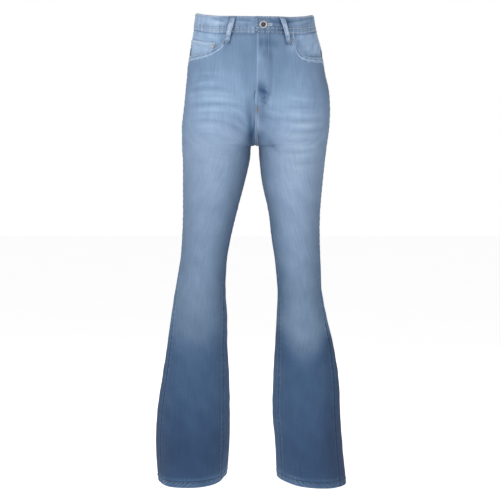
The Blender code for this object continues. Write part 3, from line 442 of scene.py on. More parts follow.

# Marks along the waistband, painted shade of creases where paler is negative and pale creases where it is
# positive: where each starts and ends as a length from the centre front, and its levels
BAND_MARK_COLUMNS = "side first last level_first level_last width paler".split()
BAND_MARKS = (
    ("right", 0.062, 0.1, 0.006, 0.013, 0.0022, -0.2),
    ("right", 0.066, 0.098, 0.0015, 0.0075, 0.0018, 0.09),
    ("right", 0.006, 0.042, 0.009, 0.01, 0.002, -0.2),
    ("right", 0.004, 0.04, 0.0035, 0.005, 0.0018, 0.1),
    ("right", 0.105, 0.15, 0.011, 0.008, 0.002, 0.08),
    ("right", 0.045, 0.12, 0.003, 0.005, 0.006, 0.11),
    ("right", 0.05, 0.11, -0.02, -0.02, 0.006, 0.08),
    ("left", 0.062, 0.084, 0.008, 0.006, 0.005, -0.24),
    ("left", 0.068, 0.088, -0.014, -0.02, 0.006, 0.2),
    ("left", 0.07, 0.1, -0.029, -0.029, 0.004, 0.12),
    ("left", 0.028, 0.06, 0.0105, 0.003, 0.003, -0.22),
    ("left", 0.03, 0.058, -0.002, -0.006, 0.0022, -0.14),
    ("left", 0.066, 0.135, 0.008, 0.0125, 0.0018, -0.22),
    ("left", 0.07, 0.13, 0.003, 0.008, 0.0018, 0.11),
    ("left", 0.085, 0.14, -0.001, 0.002, 0.0016, -0.12),
    ("left", 0.002, 0.016, -0.009, -0.006, 0.003, 0.12),
)
LOOP_SHADOW = 0.28

# Grids and seams of the fine shells
CELL = 0.003
EDGE_STEPS = (0.0, 0.0009, 0.0022, 0.0042)
# The turned-up edge: its twists' length and slant, and where its rows of points lie under its stitches
HEM_TWIST = 0.0125
HEM_SLANT = 1.3
HEM_STEPS = (0.0012, 0.003, 0.005, 0.007, 0.009, 0.011, 0.0125, 0.0134, HEM_DEPTH)

# How far a panel runs on under its neighbour, and how many columns a front has beside its scoop
SEAM_CLOSES = 0.0006
BESIDE_SCOOP = 26
SEAM_GROOVE = 0.0011
SEAM_GROOVE_WIDTH = 0.0016
SEAM_RIDGE = 0.0008
SEAM_RIDGE_AT = 0.0052
SEAM_RIDGE_WIDTH = 0.003
PUCKER_LENGTH = 0.013
TRIM_TONE = 0.81
# How far apart the ticks of painted shade from the puckers lie along rows of stitches
TICK_PITCH = 0.009
BAND_TICK_PITCH = 0.0098
BAND_ROW_WIDTH = 0.002
# The flat of the left half of the waistband lies this far along, so that its weave is its own
LEFT_WEAVE = 2.0

# The curved row of stitches that closes the fly
FLY_ROW = 0.0345
FLY_ROW_TURNS = -0.131
FLY_ROW_ENDS = -0.181
FLY_ROWS_APART = 0.0055

# Stitches
STITCH_PITCH = 0.0056
STITCH_LENGTH = 0.0036
STITCH_WIDTH = 0.0012
STITCH_HEIGHT = 0.0009
THREAD_FINE = 0.0009
ONE_STITCH = 1.0
# The tan thread of the fly ends at this level, and the crotch seam goes on in pale thread
TAN_ENDS = -0.2
# How far thread stands on the cloth, and how far each row lies from its edge or seam
THREAD_FLAT = 0.0001
THREAD_SUNK = 0.0002
THREAD_LOW = 0.0003
THREAD_OUT = 0.0004
THREAD_HIGH = 0.0005
SCOOP_INSETS = (0.0028, 0.0105)
LEG_INSETS = (0.0022, 0.0085)
EDGE_INSETS = (0.002, 0.0085)
CROTCH_INSETS = (0.002, 0.008)
BAND_INSET = 0.0026
BAND_SECOND_ROW = 0.0112
LOOP_INSET = 0.003
LOOP_TACK = 0.0044

# The dye's colours from dark to pale, how strongly the weave shows at least, and the tone inside
WEAVE_LEAST = 0.4
REVERSE_CONTRAST = 0.25
REVERSE_TONE = 0.62
DENIM_RAMP_COLUMNS = "tone red green blue".split()
DENIM_RAMP = (
    (0.0, 38, 62, 95),
    (0.1, 50, 77, 111),
    (0.2, 65, 93, 126),
    (0.3, 82, 107, 138),
    (0.45, 105, 128, 154),
    (0.55, 119, 141, 170),
    (0.65, 132, 154, 182),
    (0.75, 145, 167, 195),
    (0.85, 159, 181, 207),
    (1.0, 184, 200, 220),
)

# Metal pieces, turned: a share of the radius, and a height over the cloth. The button is dark inside
# HOLLOW_SHARE of its radius.
HOLLOW_SHARE = 0.57
BUTTON_RINGS = (
    (0.55, 0.0), (0.6, 0.001), (0.9, 0.0012), (0.97, 0.0016), (1.0, 0.0022), (0.985, 0.0028),
    (0.93, 0.0032), (0.85, 0.0034), (0.74, 0.0033), (0.66, 0.0029), (0.61, 0.0024), (0.57, 0.0021),
    (0.52, 0.0021), (0.48, 0.0024), (0.43, 0.0025), (0.39, 0.0022), (0.36, 0.0017), (0.3, 0.0015),
    (0.22, 0.0016), (0.12, 0.0019), (0.05, 0.002),
)
RIVET_RINGS = (
    (1.0, 0.0), (1.0, 0.0004), (0.95, 0.0008), (0.84, 0.001), (0.7, 0.001), (0.62, 0.0007),
    (0.52, 0.0007), (0.44, 0.0012), (0.3, 0.0016), (0.12, 0.0017),
)

# The floor, the camera and the lights
CAMERA = (-0.011, -3.2, -0.291)
AIM = (-0.011, 0.0, -0.497)
LENS = 102.0
FLOOR = -1.231
FLOOR_REACH = 14.0
FLOOR_GLOW = 0.62
FILM_WIDTH = 36.0
WHITE = (1.0, 1.0, 1.0, 1.0)
WORLD_LIGHT = 0.37
LIGHT_COLUMNS = "name x y z power size".split()
LIGHTS = (
    ("key", -1.5, -2.9, 1.2, 48.0, 1.3),
    ("right_fill", 2.4, -1.8, 0.4, 6.5, 2.0),
    ("back_fill", 0.5, 3.2, 0.8, 34.0, 2.4),
)


def read(table, columns, name):
    """One named column of a table."""
    return [row[columns.index(name)] for row in table]


def rows_of(table, columns):
    """The rows of a table as dictionaries."""
    return [dict(zip(columns, row)) for row in table]


def row_for(side, table, columns):
    """The row of a table that describes one side."""
    return next(row for row in rows_of(table, columns) if row["side"] == side)


def row_named(name, table, columns):
    """The row of a table with a name."""
    return next(row for row in rows_of(table, columns) if row["name"] == name)


def ease(x):
    """0 to 1 with no slope at either end."""
    x = np.clip(x, 0.0, 1.0)
    return x * x * (3 - 2 * x)


def bell(away, width):
    """1 at a line, falling softly to nothing a few widths away."""
    return np.exp(-((away / width) ** 2))


def on_curve(at, places, values):
    """Values on a smooth curve through given places, in rising order."""
    places = np.asarray(places, float)
    values = np.asarray(values, float)
    slopes = np.gradient(values, places)
    at = np.clip(at, places[0], places[-1])
    i = np.clip(np.searchsorted(places, at, side="right") - 1, 0, len(places) - 2)
    step = places[i + 1] - places[i]
    s = (at - places[i]) / step
    from_here = (1 + 2 * s) * (1 - s) ** 2 * values[i] + s * (1 - s) ** 2 * step * slopes[i]
    to_next = s * s * (3 - 2 * s) * values[i + 1] + s * s * (s - 1) * step * slopes[i + 1]
    return from_here + to_next


def above(level):
    """The square root of the height over the crotch, in which the middle seams run straight into it."""
    return np.sqrt(np.maximum(level - CROTCH, 0.0))


def rise_size(level, name):
    """A size above the crotch."""
    places = above(np.array(read(RISE, RISE_COLUMNS, "level")))
    return on_curve(above(level), places, read(RISE, RISE_COLUMNS, name))


def leg_size(level, name):
    """A size below the crotch."""
    return on_curve(level, read(LEG, LEG_COLUMNS, "level"), read(LEG, LEG_COLUMNS, name))


def whole_size(level, name, leg_name):
    """A size that runs smoothly through the crotch, on one curve through both tables."""
    levels = read(LEG, LEG_COLUMNS, "level") + read(RISE, RISE_COLUMNS, "level")[1:]
    values = read(LEG, LEG_COLUMNS, leg_name) + read(RISE, RISE_COLUMNS, name)[1:]
    return on_curve(level, levels, values)


def sizes(side, level):
    """The sizes of one half's outline at each level."""
    leg = level < CROTCH
    drop = np.maximum(CROTCH - level, 0.0)
    opening = np.sqrt(1 - np.exp(-2 * drop / ARCH_FALL))
    bridge = ease((BRIDGE_STARTS - level) / (BRIDGE_STARTS - CROTCH))
    out = whole_size(level, side, side + "_out")
    inner = np.where(leg, leg_size(level, side + "_in") * opening, 0.0) + GAP / 2
    middle = (out + leg_size(level, side + "_in") * ease(drop / PEAK_SETTLES)) / 2
    return {
        "out": out,
        "inner": inner,
        "front": whole_size(level, "front", "front"),
        "back": whole_size(level, "back", "back"),
        "side": whole_size(level, "side", "side"),
        "front_in": np.where(leg, leg_size(level, "inseam"), rise_size(level, "centre_front")) - GAP / 2,
        "back_in": np.where(leg, leg_size(level, "inseam"), rise_size(level, "centre_back")) + GAP / 2,
        "front_peak": np.where(leg, middle, out * rise_size(level, "front_peak")),
        "back_peak": np.where(leg, middle, out * rise_size(level, "back_peak")),
        "bridge": bridge,
        "fillet": np.where(leg, np.maximum(ARCH - inner, 0.0), ARCH * bridge),
    }


def inner_run(size, face):
    """The outline from the inner seam to the peak of the front or back."""
    toward = {"front": -1.0, "back": 1.0}[face]
    start = size[face + "_in"]
    peak_x = size[face + "_peak"]
    peak_y = size[face]
    turn = np.linspace(0.0, math.pi / 2, ARC_STEPS // 2)[None, :-1]
    radius = size["fillet"]
    fillet_x = size["inner"] + radius * np.sin(turn)
    fillet_y = start + toward * radius * (1 - np.cos(turn))
    wall_x = size["inner"] + radius
    wall_y = start + toward * radius
    swing = np.linspace(math.pi / 2, 0.0, ARC_STEPS)[None, :]
    share = swing / (math.pi / 2)
    across = (1 - size["bridge"]) * share + size["bridge"] * np.sin(swing)
    deep = (1 - size["bridge"]) * ease(share) + size["bridge"] * (1 - np.cos(swing))
    arc_x = peak_x + (wall_x - peak_x) * across
    arc_y = peak_y + (wall_y - peak_y) * deep
    return np.hstack([fillet_x, arc_x]), np.hstack([fillet_y, arc_y])


def outer_run(size, face):
    """The outline from the peak of the front or back to the side."""
    swing = np.linspace(math.pi / 2, 0.0, ARC_STEPS)[None, 1:]
    peak_x = size[face + "_peak"]
    x = peak_x + (size["out"] - peak_x) * np.cos(swing)
    y = size["side"] + (size[face] - size["side"]) * np.sin(swing)
    return x, y


def outlines(side, level):
    """Each level's outline of one half, from the inner front past the side to the inner back.

    It gives x, y, the length to each point, and the length to the side.
    """
    size = sizes(side, np.atleast_1d(level)[:, None])
    runs = [inner_run(size, "front"), outer_run(size, "front")]
    runs += [tuple(part[:, ::-1][:, 1:] for part in outer_run(size, "back"))]
    peak = (size["back_peak"], size["back"])
    runs += [tuple(part * np.ones((len(size["out"]), 1)) for part in peak)]
    runs += [tuple(part[:, ::-1][:, 1:] for part in inner_run(size, "back"))]
    x = np.hstack([run[0] for run in runs])
    y = np.hstack([run[1] for run in runs])
    steps = np.hypot(np.diff(x, axis=1), np.diff(y, axis=1))
    length = np.hstack([np.zeros((len(x), 1)), np.cumsum(steps, axis=1)])
    at_side = np.argmax(x >= size["out"] - TOUCHING, axis=1)
    return x, y, length, length[np.arange(len(x)), at_side]


def walk(x, y, length, along):
    """The place at a length along each outline."""
    i = np.clip((length <= along[:, None]).sum(axis=1) - 1, 0, length.shape[1] - 2)
    row = np.arange(len(along))
    step = np.maximum(length[row, i + 1] - length[row, i], 1e-9)
    s = np.clip((along - length[row, i]) / step, 0.0, 1.0)
    return x[row, i] + s * (x[row, i + 1] - x[row, i]), y[row, i] + s * (y[row, i + 1] - y[row, i])


def waist_rise(level, x, y):
    """How far the waist stands over its level: more at the sides and back, and more on the right."""
    fade = ease((level - LEAN_ENDS) / (BAND_SEAM - LEAN_ENDS))
    front = rise_size(level, "front")
    back = rise_size(level, "back")
    to_side = ease((y - front) / (0.0 - front))
    to_back = ease(y / back)
    dip = SIDE_DIP * bell(y, SIDE_DIP_REACH)
    return fade * (SIDE_RISE * to_side + (BACK_RISE - SIDE_RISE) * to_back - LEAN * x - dip)


def hem_rise(side, level, x, size):
    """How far the lower edge stands over its level: lower at the outside, with its inner corner up."""
    shape = row_for(side, HEM_SHAPE, HEM_COLUMNS)
    fade = ease((HEM_SHAPE_STARTS - level) / (HEM_SHAPE_STARTS - HEM))
    middle = (size["out"] + size["inner"])[:, 0] / 2
    half = (size["out"] - size["inner"])[:, 0] / 2
    outward = np.clip((x - middle) / half, -1.0, 1.0)
    return fade * (shape["curl"] * np.maximum(-outward, 0.0) ** 4 - shape["drop"] * outward)


def base(side, level, along):
    """The surface with no folds. Past the middle it runs on over the other half, or round the leg."""
    level, along = np.broadcast_arrays(np.asarray(level, float), np.asarray(along, float))
    shape = level.shape
    level, along = level.ravel(), along.ravel()
    x, y, length, _ = outlines(side, level)
    whole = length[:, -1]
    leg = level < CROTCH
    wrapped = np.where(leg, np.mod(along, whole), along)
    px, py = walk(x, y, length, wrapped)
    over = ~leg & ((along < 0) | (along > whole))
    sign = np.full(len(level), SIGN[side])
    if over.any():
        ox, oy, far, _ = outlines(OTHER[side], level[over])
        extra = np.where(along[over] < 0, -along[over], far[:, -1] - (along[over] - whole[over]))
        px[over], py[over] = walk(ox, oy, far, extra)
        sign[over] = -sign[over]
    size = sizes(side, level[:, None])
    pz = level + np.where(leg, hem_rise(side, level, px, size), waist_rise(level, sign * px, py))
    return np.stack([sign * px, py, pz], axis=-1).reshape(shape + (3,))


def outward(side, level, along):
    """The direction out of the cloth at each place."""
    across = base(side, level, along + PROBE) - base(side, level, along - PROBE)
    up = base(side, level + PROBE, along) - base(side, level - PROBE, along)
    way = np.cross(across, up) * SIGN[side]
    return way / np.maximum(np.linalg.norm(way, axis=-1, keepdims=True), 1e-12)


def waves(side, level, share):
    """The height of the waves round the flares."""
    size = WAVE_HEIGHT * ease((WAVES_START - level) / (WAVES_START - HEM))
    total = np.zeros(np.shape(share))
    for wave in rows_of(WAVES, WAVE_COLUMNS):
        if wave["side"] == side:
            total = total + wave["share"] * np.cos(2 * math.pi * wave["count"] * share + wave["turn"])
    return size * total


def ridges(point, way):
    """The height of the largest folds."""
    x, z = point[..., 0], point[..., 2]
    total = np.zeros(x.shape)
    for fold in rows_of(FOLDS, FOLD_COLUMNS):
        dx = fold["x_to"] - fold["x_from"]
        dz = fold["z_to"] - fold["z_from"]
        s = np.clip(((x - fold["x_from"]) * dx + (z - fold["z_from"]) * dz) / (dx * dx + dz * dz), 0.0, 1.0)
        away = np.hypot(x - fold["x_from"] - s * dx, z - fold["z_from"] - s * dz)
        body = bell(away, fold["width"]) * (FOLD_ENDS + (1 - FOLD_ENDS) * np.sin(math.pi * s))
        total += fold["height"] * body * faces(way, fold["face"])
    return total


def to_side(side, level):
    """The length from the inner front to the side seam."""
    level = np.asarray(level, float)
    seam = outlines(side, level.ravel())[3].reshape(level.shape)
    return seam - np.where(level < CROTCH, leg_size(level, "seam_turn"), 0.0)


def all_round(side, level):
    """The length from the inner front to the inner back."""
    level = np.asarray(level, float)
    return outlines(side, level.ravel())[2][:, -1].reshape(level.shape)


def round_at(side, level):
    """The length from the inner front to the inner back at one level."""
    return float(all_round(side, np.array([level]))[0])


def inseam(level):
    """How far the inner leg seam runs forward of the inner edge."""
    return np.where(level < CROTCH, leg_size(level, "seam_turn"), 0.0)


def fly_lift(level, along):
    """How far the left front stands off, over the fly."""
    return (
        FLY_LIFT
        * (1 - ease((along - FLY_LIFT_FLAT) / (FLY_LIFT_ENDS - FLY_LIFT_FLAT)))
        * ease((level - FLY_ENDS) / (FLY_FLAT_ENDS - FLY_ENDS))
    )


def band_lift(along):
    """How far the left end of the waistband stands off, over the right end."""
    return BAND_LIFT * (1 - ease((along - FLY_LIFT_FLAT) / (FLY_LIFT_ENDS - FLY_LIFT_FLAT)))


def panel_wall(level):
    """The thickness of a leg panel, which is doubled by the turned hem."""
    return WALL + (HEM_WALL - WALL) * (level < HEM + HEM_DEPTH + 0.0001)


def front_ends(side, levels):
    """The lengths to a front's inner edge and side seam. Over the fly the left laps over the right."""
    if side == "left":
        lap = FLY_EDGE * ease((levels - FLY_ENDS) / LAP_GROWS)
    else:
        lap = -UNDERLAP * ease((levels - FLY_FLAT_ENDS) / UNDERLAP_GROWS)
    inner_end = np.where(levels < CROTCH, inseam(levels) + GAP / 2, lap)
    return inner_end, to_side(side, levels) - GAP / 2


def yoke_level(level_side, level_back, u):
    """The level of the seam under the yoke: u runs from the side to the centre back."""
    return level_side + (level_back - level_side) * ((1 - YOKE_BEND) * u + YOKE_BEND * ease(u))


def wobble(a, b, seed, size):
    """Gentle uneven bumps between about -1 and 1: waves of several lengths and directions."""
    rng = np.random.default_rng(seed)
    total = 0.0
    for _ in range(7):
        turn = rng.uniform(0.0, 2 * math.pi)
        length = size * rng.uniform(0.6, 1.7)
        start = rng.uniform(0.0, 2 * math.pi)
        total = total + np.sin((a * math.cos(turn) + b * math.sin(turn)) * 2 * math.pi / length + start)
    return total / 3.2


def uneven(run, pitch, a, b, seed, size):
    """Waves between -1 and 1 along a run, at an uneven pitch."""
    return np.sin(2 * math.pi * run / pitch + 2 * wobble(a, b, seed, size))


def ticked(run, pitch, a, b, seed, size):
    """The same waves, between 0 and 1."""
    return 0.5 + 0.5 * uneven(run, pitch, a, b, seed, size)


def faces(way, face):
    """How squarely the cloth faces the front or the back, from 0 to 1."""
    toward = -way[..., 1] if face == "front" else way[..., 1]
    return ease(toward / FOLD_FACING)


def streak(row, x, z):
    """How strongly a place lies on a bowed line between two places, with soft ends."""
    dx = row["x_to"] - row["x_from"]
    dz = row["z_to"] - row["z_from"]
    span = math.hypot(dx, dz)
    s = ((x - row["x_from"]) * dx + (z - row["z_from"]) * dz) / span**2
    aside = ((z - row["z_from"]) * dx - (x - row["x_from"]) * dz) / span
    inside = np.clip(s, 0.0, 1.0)
    aside = aside - 4 * row["bow"] * inside * (1 - inside)
    beyond = (s - inside) * span
    near = bell(np.hypot(aside, beyond), row["width"])
    return near * (0.25 + 0.75 * np.sin(math.pi * inside))


def creases(point, way):
    """The height of the finer creases."""
    x, z = point[..., 0], point[..., 2]
    total = np.zeros(x.shape)
    for row in rows_of(CREASES, CREASE_COLUMNS):
        total += row["height"] * streak(row, x, z) * faces(way, row["face"])
    return total


def skin(side, level, along, out=0.0):
    """The surface with all its creases, moved out by a distance, and the direction out of it."""
    level, along = np.broadcast_arrays(np.asarray(level, float), np.asarray(along, float))
    point = base(side, level, along)
    way = outward(side, level, along)
    whole = all_round(side, level)
    height = waves(side, level, along / whole) + ridges(point, way) + creases(point, way)
    height = height + 0.0003 * wobble(along, level, 5, 0.050)
    return point + way * (height + out)[..., None], way


def seam_relief(distance, run, seed):
    """The height beside a seam: a groove at it, then a puckered ridge over the folded edges inside."""
    pucker = 1 + 0.45 * uneven(run, PUCKER_LENGTH, run, 0 * run, seed, 0.06)
    groove = -SEAM_GROOVE * bell(distance, SEAM_GROOVE_WIDTH)
    ridge = SEAM_RIDGE * bell(distance - SEAM_RIDGE_AT, SEAM_RIDGE_WIDTH)
    return groove + ridge * pucker


def tone_of(side, level, point, way):
    """How pale the cloth is, from its level, its side, and the fades and whiskers worn into it, with painted
    shade on the sides turned from the front, in the crease troughs and in the crotch.
    """
    x, z = point[..., 0], point[..., 2]
    bow = row_for(side, DYE_BOWS, DYE_BOW_COLUMNS)
    across = (x - bow["middle"]) / bow["half_width"]
    near_dye = bell(level - DYE_LEVEL, DYE_REACH)
    bowed = bow["bow"] * np.minimum(across**2, 1.6) * near_dye
    shown_level = level - bowed * ease(-way[..., 1] / 0.3)
    levels = read(TONES, TONE_COLUMNS, "level")
    tone = on_curve(shown_level, levels, read(TONES, TONE_COLUMNS, side))
    fade = row_for(side, SIDE_FADE_AND_SHADE, SIDE_FADE_AND_SHADE_COLUMNS)
    # Darker on the sides turned away from the front: partly a sprayed fade and partly painted shade. The
    # flares' inner sides are paler instead.
    turned_away_fade_and_shade = (1 - np.abs(way[..., 1])) ** 1.2 * ease((BAND_SEAM - level) / 0.12)
    outside = np.where(SIGN[side] * way[..., 0] > 0, 1.0, 0.0)
    leg = ease((level - LEG_FADE_AND_SHADE_STARTS) / LEG_FADE_AND_SHADE_GROWS)
    inner = fade["inner"] * leg - FLARE_INSIDE_PALER * (1 - leg)
    tone = tone - turned_away_fade_and_shade * (fade["outer"] * outside * (0.6 + 0.4 * leg) + inner * (1 - outside))
    tone = tone - BACK_DARKER * ease(way[..., 1] / 0.5)
    for row in rows_of(PATCHES, PATCH_COLUMNS):
        turn = math.radians(row["turn"])
        dx, dz = x - row["x"], z - row["z"]
        a = (dx * math.cos(turn) + dz * math.sin(turn)) / row["half_width"]
        b = (dz * math.cos(turn) - dx * math.sin(turn)) / row["half_height"]
        tone = tone + row["paler"] * np.exp(-(a * a + b * b)) * faces(way, row["face"])
    # Pale worn whiskers, and painted shade in the crease troughs where paler is negative
    for row in rows_of(WHISKERS_AND_CREASE_SHADE, WHISKER_AND_SHADE_COLUMNS):
        tone = tone + WHISKER_AND_SHADE_STRENGTH * row["paler"] * streak(row, x, z) * faces(way, row["face"])
    return tone + 0.012 * wobble(x, z, 11, 0.045)


def edged(start, end, cells):
    """Columns between two lengths in each row: close together at both edges, and even between."""
    steps = np.array(EDGE_STEPS)
    u = np.linspace(0.0, 1.0, cells + 1)[None, 1:-1]
    first = start + steps[None, :] + 0 * end
    last = end - steps[None, ::-1] + 0 * start
    low, high = first[:, -1:], last[:, :1]
    return np.hstack([first, low + (high - low) * u, last])


def srgb(red, green, blue):
    """A colour as seen, turned into light."""
    return [((v / 255 + 0.055) / 1.055) ** 2.4 if v > 10 else v / 255 / 12.92 for v in (red, green, blue)]


def shell(name, outer, inner, flat, fields, finishes, node=None):
    """A closed shell between two grids, with values at its points and the outer and inner materials."""
    rows, columns = outer.shape[:2]
    count = rows * columns
    points = np.concatenate([outer.reshape(-1, 3), inner.reshape(-1, 3)])
    r, c = np.meshgrid(np.arange(rows - 1), np.arange(columns - 1), indexing="ij")
    a = (r * columns + c).ravel()
    quads = np.stack([a, a + 1, a + 1 + columns, a + columns], axis=1)
    border = list(range(columns))
    border += [k * columns + columns - 1 for k in range(1, rows)]
    border += [(rows - 1) * columns + k for k in range(columns - 2, -1, -1)]
    border += [k * columns for k in range(rows - 2, 0, -1)]
    border = np.array(border)
    after = np.roll(border, -1)
    rim = np.stack([after, border, count + border, count + after], axis=1)
    faces = np.concatenate([quads, count + quads[:, ::-1], rim])
    middle = (rows // 2, columns // 2)
    across = outer[middle[0], middle[1] + 1] - outer[middle]
    down = outer[middle[0] + 1, middle[1]] - outer[middle]
    if np.dot(np.cross(across, down), outer[middle] - inner[middle]) < 0:
        faces = faces[:, ::-1]
    mesh = bpy.data.meshes.new(name)
    mesh.from_pydata(points.tolist(), [], faces.tolist())
    uv = mesh.uv_layers.new(name="cloth")
    corner = np.empty(len(mesh.loops), np.int32)
    mesh.loops.foreach_get("vertex_index", corner)
    both = np.concatenate([flat.reshape(-1, 2), flat.reshape(-1, 2)])
    uv.data.foreach_set("uv", both[corner].astype(np.float32).ravel())
    for field, values in fields.items():
        data = mesh.attributes.new(field, "FLOAT", "POINT").data
        data.foreach_set("value", np.tile(np.asarray(values, np.float32).ravel(), 2))
    for finish in finishes:
        mesh.materials.append(finish)
    index = np.zeros(len(faces), np.int32)
    index[len(quads):2 * len(quads)] = len(finishes) - 1
    mesh.polygons.foreach_set("material_index", index)
    mesh.shade_smooth()
    mesh.set_sharp_from_angle(angle=math.radians(55))
    return place_mesh(name, mesh, node)


class Nodes:
    """Short calls that add shader nodes to one material."""

    def __init__(self, name, roughness, metallic=0.0, sheen=0.0):
        self.material = bpy.data.materials.new(name)
        self.material.use_nodes = True
        self.tree = self.material.node_tree
        self.shader = self.tree.nodes["Principled BSDF"]
        self.shader.inputs["Roughness"].default_value = roughness
        self.shader.inputs["Metallic"].default_value = metallic
        self.shader.inputs["Sheen Weight"].default_value = sheen

    def add(self, kind, inputs=None, **settings):
        node = self.tree.nodes.new(kind)
        for key, value in settings.items():
            setattr(node, key, value)
        for key, value in (inputs or {}).items():
            self.put(node.inputs[key], value)
        return node

    def put(self, socket, value):
        if isinstance(value, bpy.types.NodeSocket):
            self.tree.links.new(value, socket)
        else:
            socket.default_value = value

    def math(self, operation, a, b=0.0, clamp=False):
        node = self.add("ShaderNodeMath", {0: a, 1: b}, operation=operation)
        node.use_clamp = clamp
        return node.outputs[0]

    def attribute(self, name):
        return self.add("ShaderNodeAttribute", attribute_name=name).outputs["Fac"]

    def scaled(self, source, scale, turn=0.0):
        node = self.add("ShaderNodeMapping", {"Vector": source, "Scale": scale, "Rotation": (0, 0, turn)})
        return node.outputs[0]

    def noise(self, vector, scale, detail=2.0):
        node = self.add("ShaderNodeTexNoise", {"Vector": vector, "Scale": scale, "Detail": detail})
        return node.outputs["Fac"]

    def ramp(self, factor, stops):
        node = self.add("ShaderNodeValToRGB", {"Fac": factor})
        elements = node.color_ramp.elements
        while len(elements) < len(stops):
            elements.new(0.5)
        for element, (place, colour) in zip(elements, stops):
            element.position = place
            element.color = list(colour) + [1.0]
        return node.outputs["Color"]

    def bump(self, height, strength, distance):
        inputs = {"Height": height, "Strength": strength, "Distance": distance}
        return self.add("ShaderNodeBump", inputs).outputs["Normal"]

    def link(self, socket, name):
        self.tree.links.new(socket, self.shader.inputs[name])


def denim(name, reverse=False):
    """Worn twill: a pale or dark dye, slubs down the warp, a diagonal weave, and the pale worn ridges and
    painted shade that each piece carries.
    """
    n = Nodes(name, 0.94, sheen=0.02)
    uv = n.add("ShaderNodeUVMap", uv_map="cloth").outputs[0]
    slub = n.noise(n.scaled(uv, (620.0, 26.0, 1.0)), 1.0, 3.0)
    streaks = n.noise(n.scaled(uv, (230.0, 24.0, 1.0)), 1.0, 3.0)
    weft = n.noise(n.scaled(uv, (30.0, 520.0, 1.0)), 1.0, 2.0)
    mottle = n.noise(n.scaled(uv, (34.0, 24.0, 1.0)), 1.0, 4.0)
    slanted = n.scaled(uv, (1.0, 1.0, 1.0), math.radians(-28))
    twill = n.add(
        "ShaderNodeTexWave",
        {"Vector": slanted, "Scale": 330.0, "Distortion": 1.2, "Detail": 1.0},
        wave_type="BANDS",
        bands_direction="X",
    ).outputs["Fac"]
    tone = n.attribute("tone")
    wear_and_shade = n.attribute("wear_and_shade")
    # The weave shows less on the dark dye of the flares
    shows = n.math("MULTIPLY_ADD", tone, 1.0)
    shows.node.inputs[2].default_value = WEAVE_LEAST
    for texture, share in ((slub, 0.17), (streaks, 0.13), (weft, 0.08), (mottle, 0.15), (twill, 0.10)):
        uneven = n.math("MULTIPLY", n.math("SUBTRACT", texture, 0.5), share)
        tone = n.math("ADD", tone, n.math("MULTIPLY", uneven, shows))
    patchy = n.math("MULTIPLY", wear_and_shade, n.math("MULTIPLY", n.math("ADD", slub, mottle), 0.9))
    tone = n.math("ADD", tone, patchy, clamp=True)
    if reverse:
        tone = n.math("MULTIPLY_ADD", tone, REVERSE_CONTRAST)
        tone.node.inputs[2].default_value = REVERSE_TONE
    stops = rows_of(DENIM_RAMP, DENIM_RAMP_COLUMNS)
    colour = n.ramp(tone, [(row["tone"], srgb(row["red"], row["green"], row["blue"])) for row in stops])
    tint = n.add(
        "ShaderNodeMix",
        {"Factor": n.attribute("blue"), 6: colour, 7: BLUE_TINT},
        data_type="RGBA",
        blend_type="MULTIPLY",
    ).outputs[2]
    n.link(tint, "Base Color")
    cloth_height = n.math("ADD", n.math("MULTIPLY", twill, 0.5), n.math("MULTIPLY", slub, 0.5))
    n.link(n.bump(cloth_height, 0.35, 0.00035), "Normal")
    return n.material


def thread(name, colour):
    """Sewing thread with its twist."""
    n = Nodes(name, 0.7, sheen=0.1)
    place = n.add("ShaderNodeTexCoord").outputs["Object"]
    fuzz = n.noise(place, 900.0, 2.0)
    dark = [v * 0.62 for v in srgb(*colour)]
    n.link(n.ramp(fuzz, [(0.25, dark), (0.70, srgb(*colour))]), "Base Color")
    n.link(n.bump(fuzz, 0.4, 0.0003), "Normal")
    return n.material


def metal(name, dark, light, roughness):
    """Worn metal: darker in its hollows, brighter where it is rubbed."""
    n = Nodes(name, roughness, metallic=0.9)
    place = n.add("ShaderNodeTexCoord").outputs["Object"]
    stain = n.noise(place, 420.0, 5.0)
    pointed = n.add("ShaderNodeNewGeometry").outputs["Pointiness"]
    rubbed = n.math("ADD", n.math("MULTIPLY", stain, 0.6), n.math("MULTIPLY", pointed, 0.5))
    n.link(n.ramp(rubbed, [(0.35, srgb(*dark)), (0.75, srgb(*light))]), "Base Color")
    n.link(n.bump(stain, 0.25, 0.0002), "Normal")
    return n.material


def fields_of(side, level, point, way, wear_and_shade=0.0, tone=None):
    """The values that the denim's material reads at each point."""
    if tone is None:
        tone = tone_of(side, level, point, way)
    blue = ease((level - TINT_STARTS) / TINT_GROWS)
    return {"tone": tone, "wear_and_shade": wear_and_shade + 0 * level, "blue": blue + 0 * level}


def place_mesh(name, mesh, node=None):
    """Puts a mesh in the scene, in place of a node's own where one is named."""
    made = bpy.data.objects.new(name, mesh)
    bpy.context.scene.collection.objects.link(made)
    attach(made, "root")
    if node:
        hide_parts(node)
    return made


def cloth_piece(name, side, levels, along, out, under, wear_and_shade=0.0, tone=None, paler=0.0, finishes=None):
    """A piece of cloth on one side's surface: out and under are how far its two faces stand off."""
    outer, way = skin(side, levels, along, out)
    inner, _ = skin(side, levels, along, under)
    fields = fields_of(side, levels, outer, way, wear_and_shade, tone)
    fields["tone"] = fields["tone"] + paler
    flat = np.stack([along, levels], axis=-1)
    made = shell(name + "_cloth", outer, inner, flat, fields, finishes or DENIM, name)


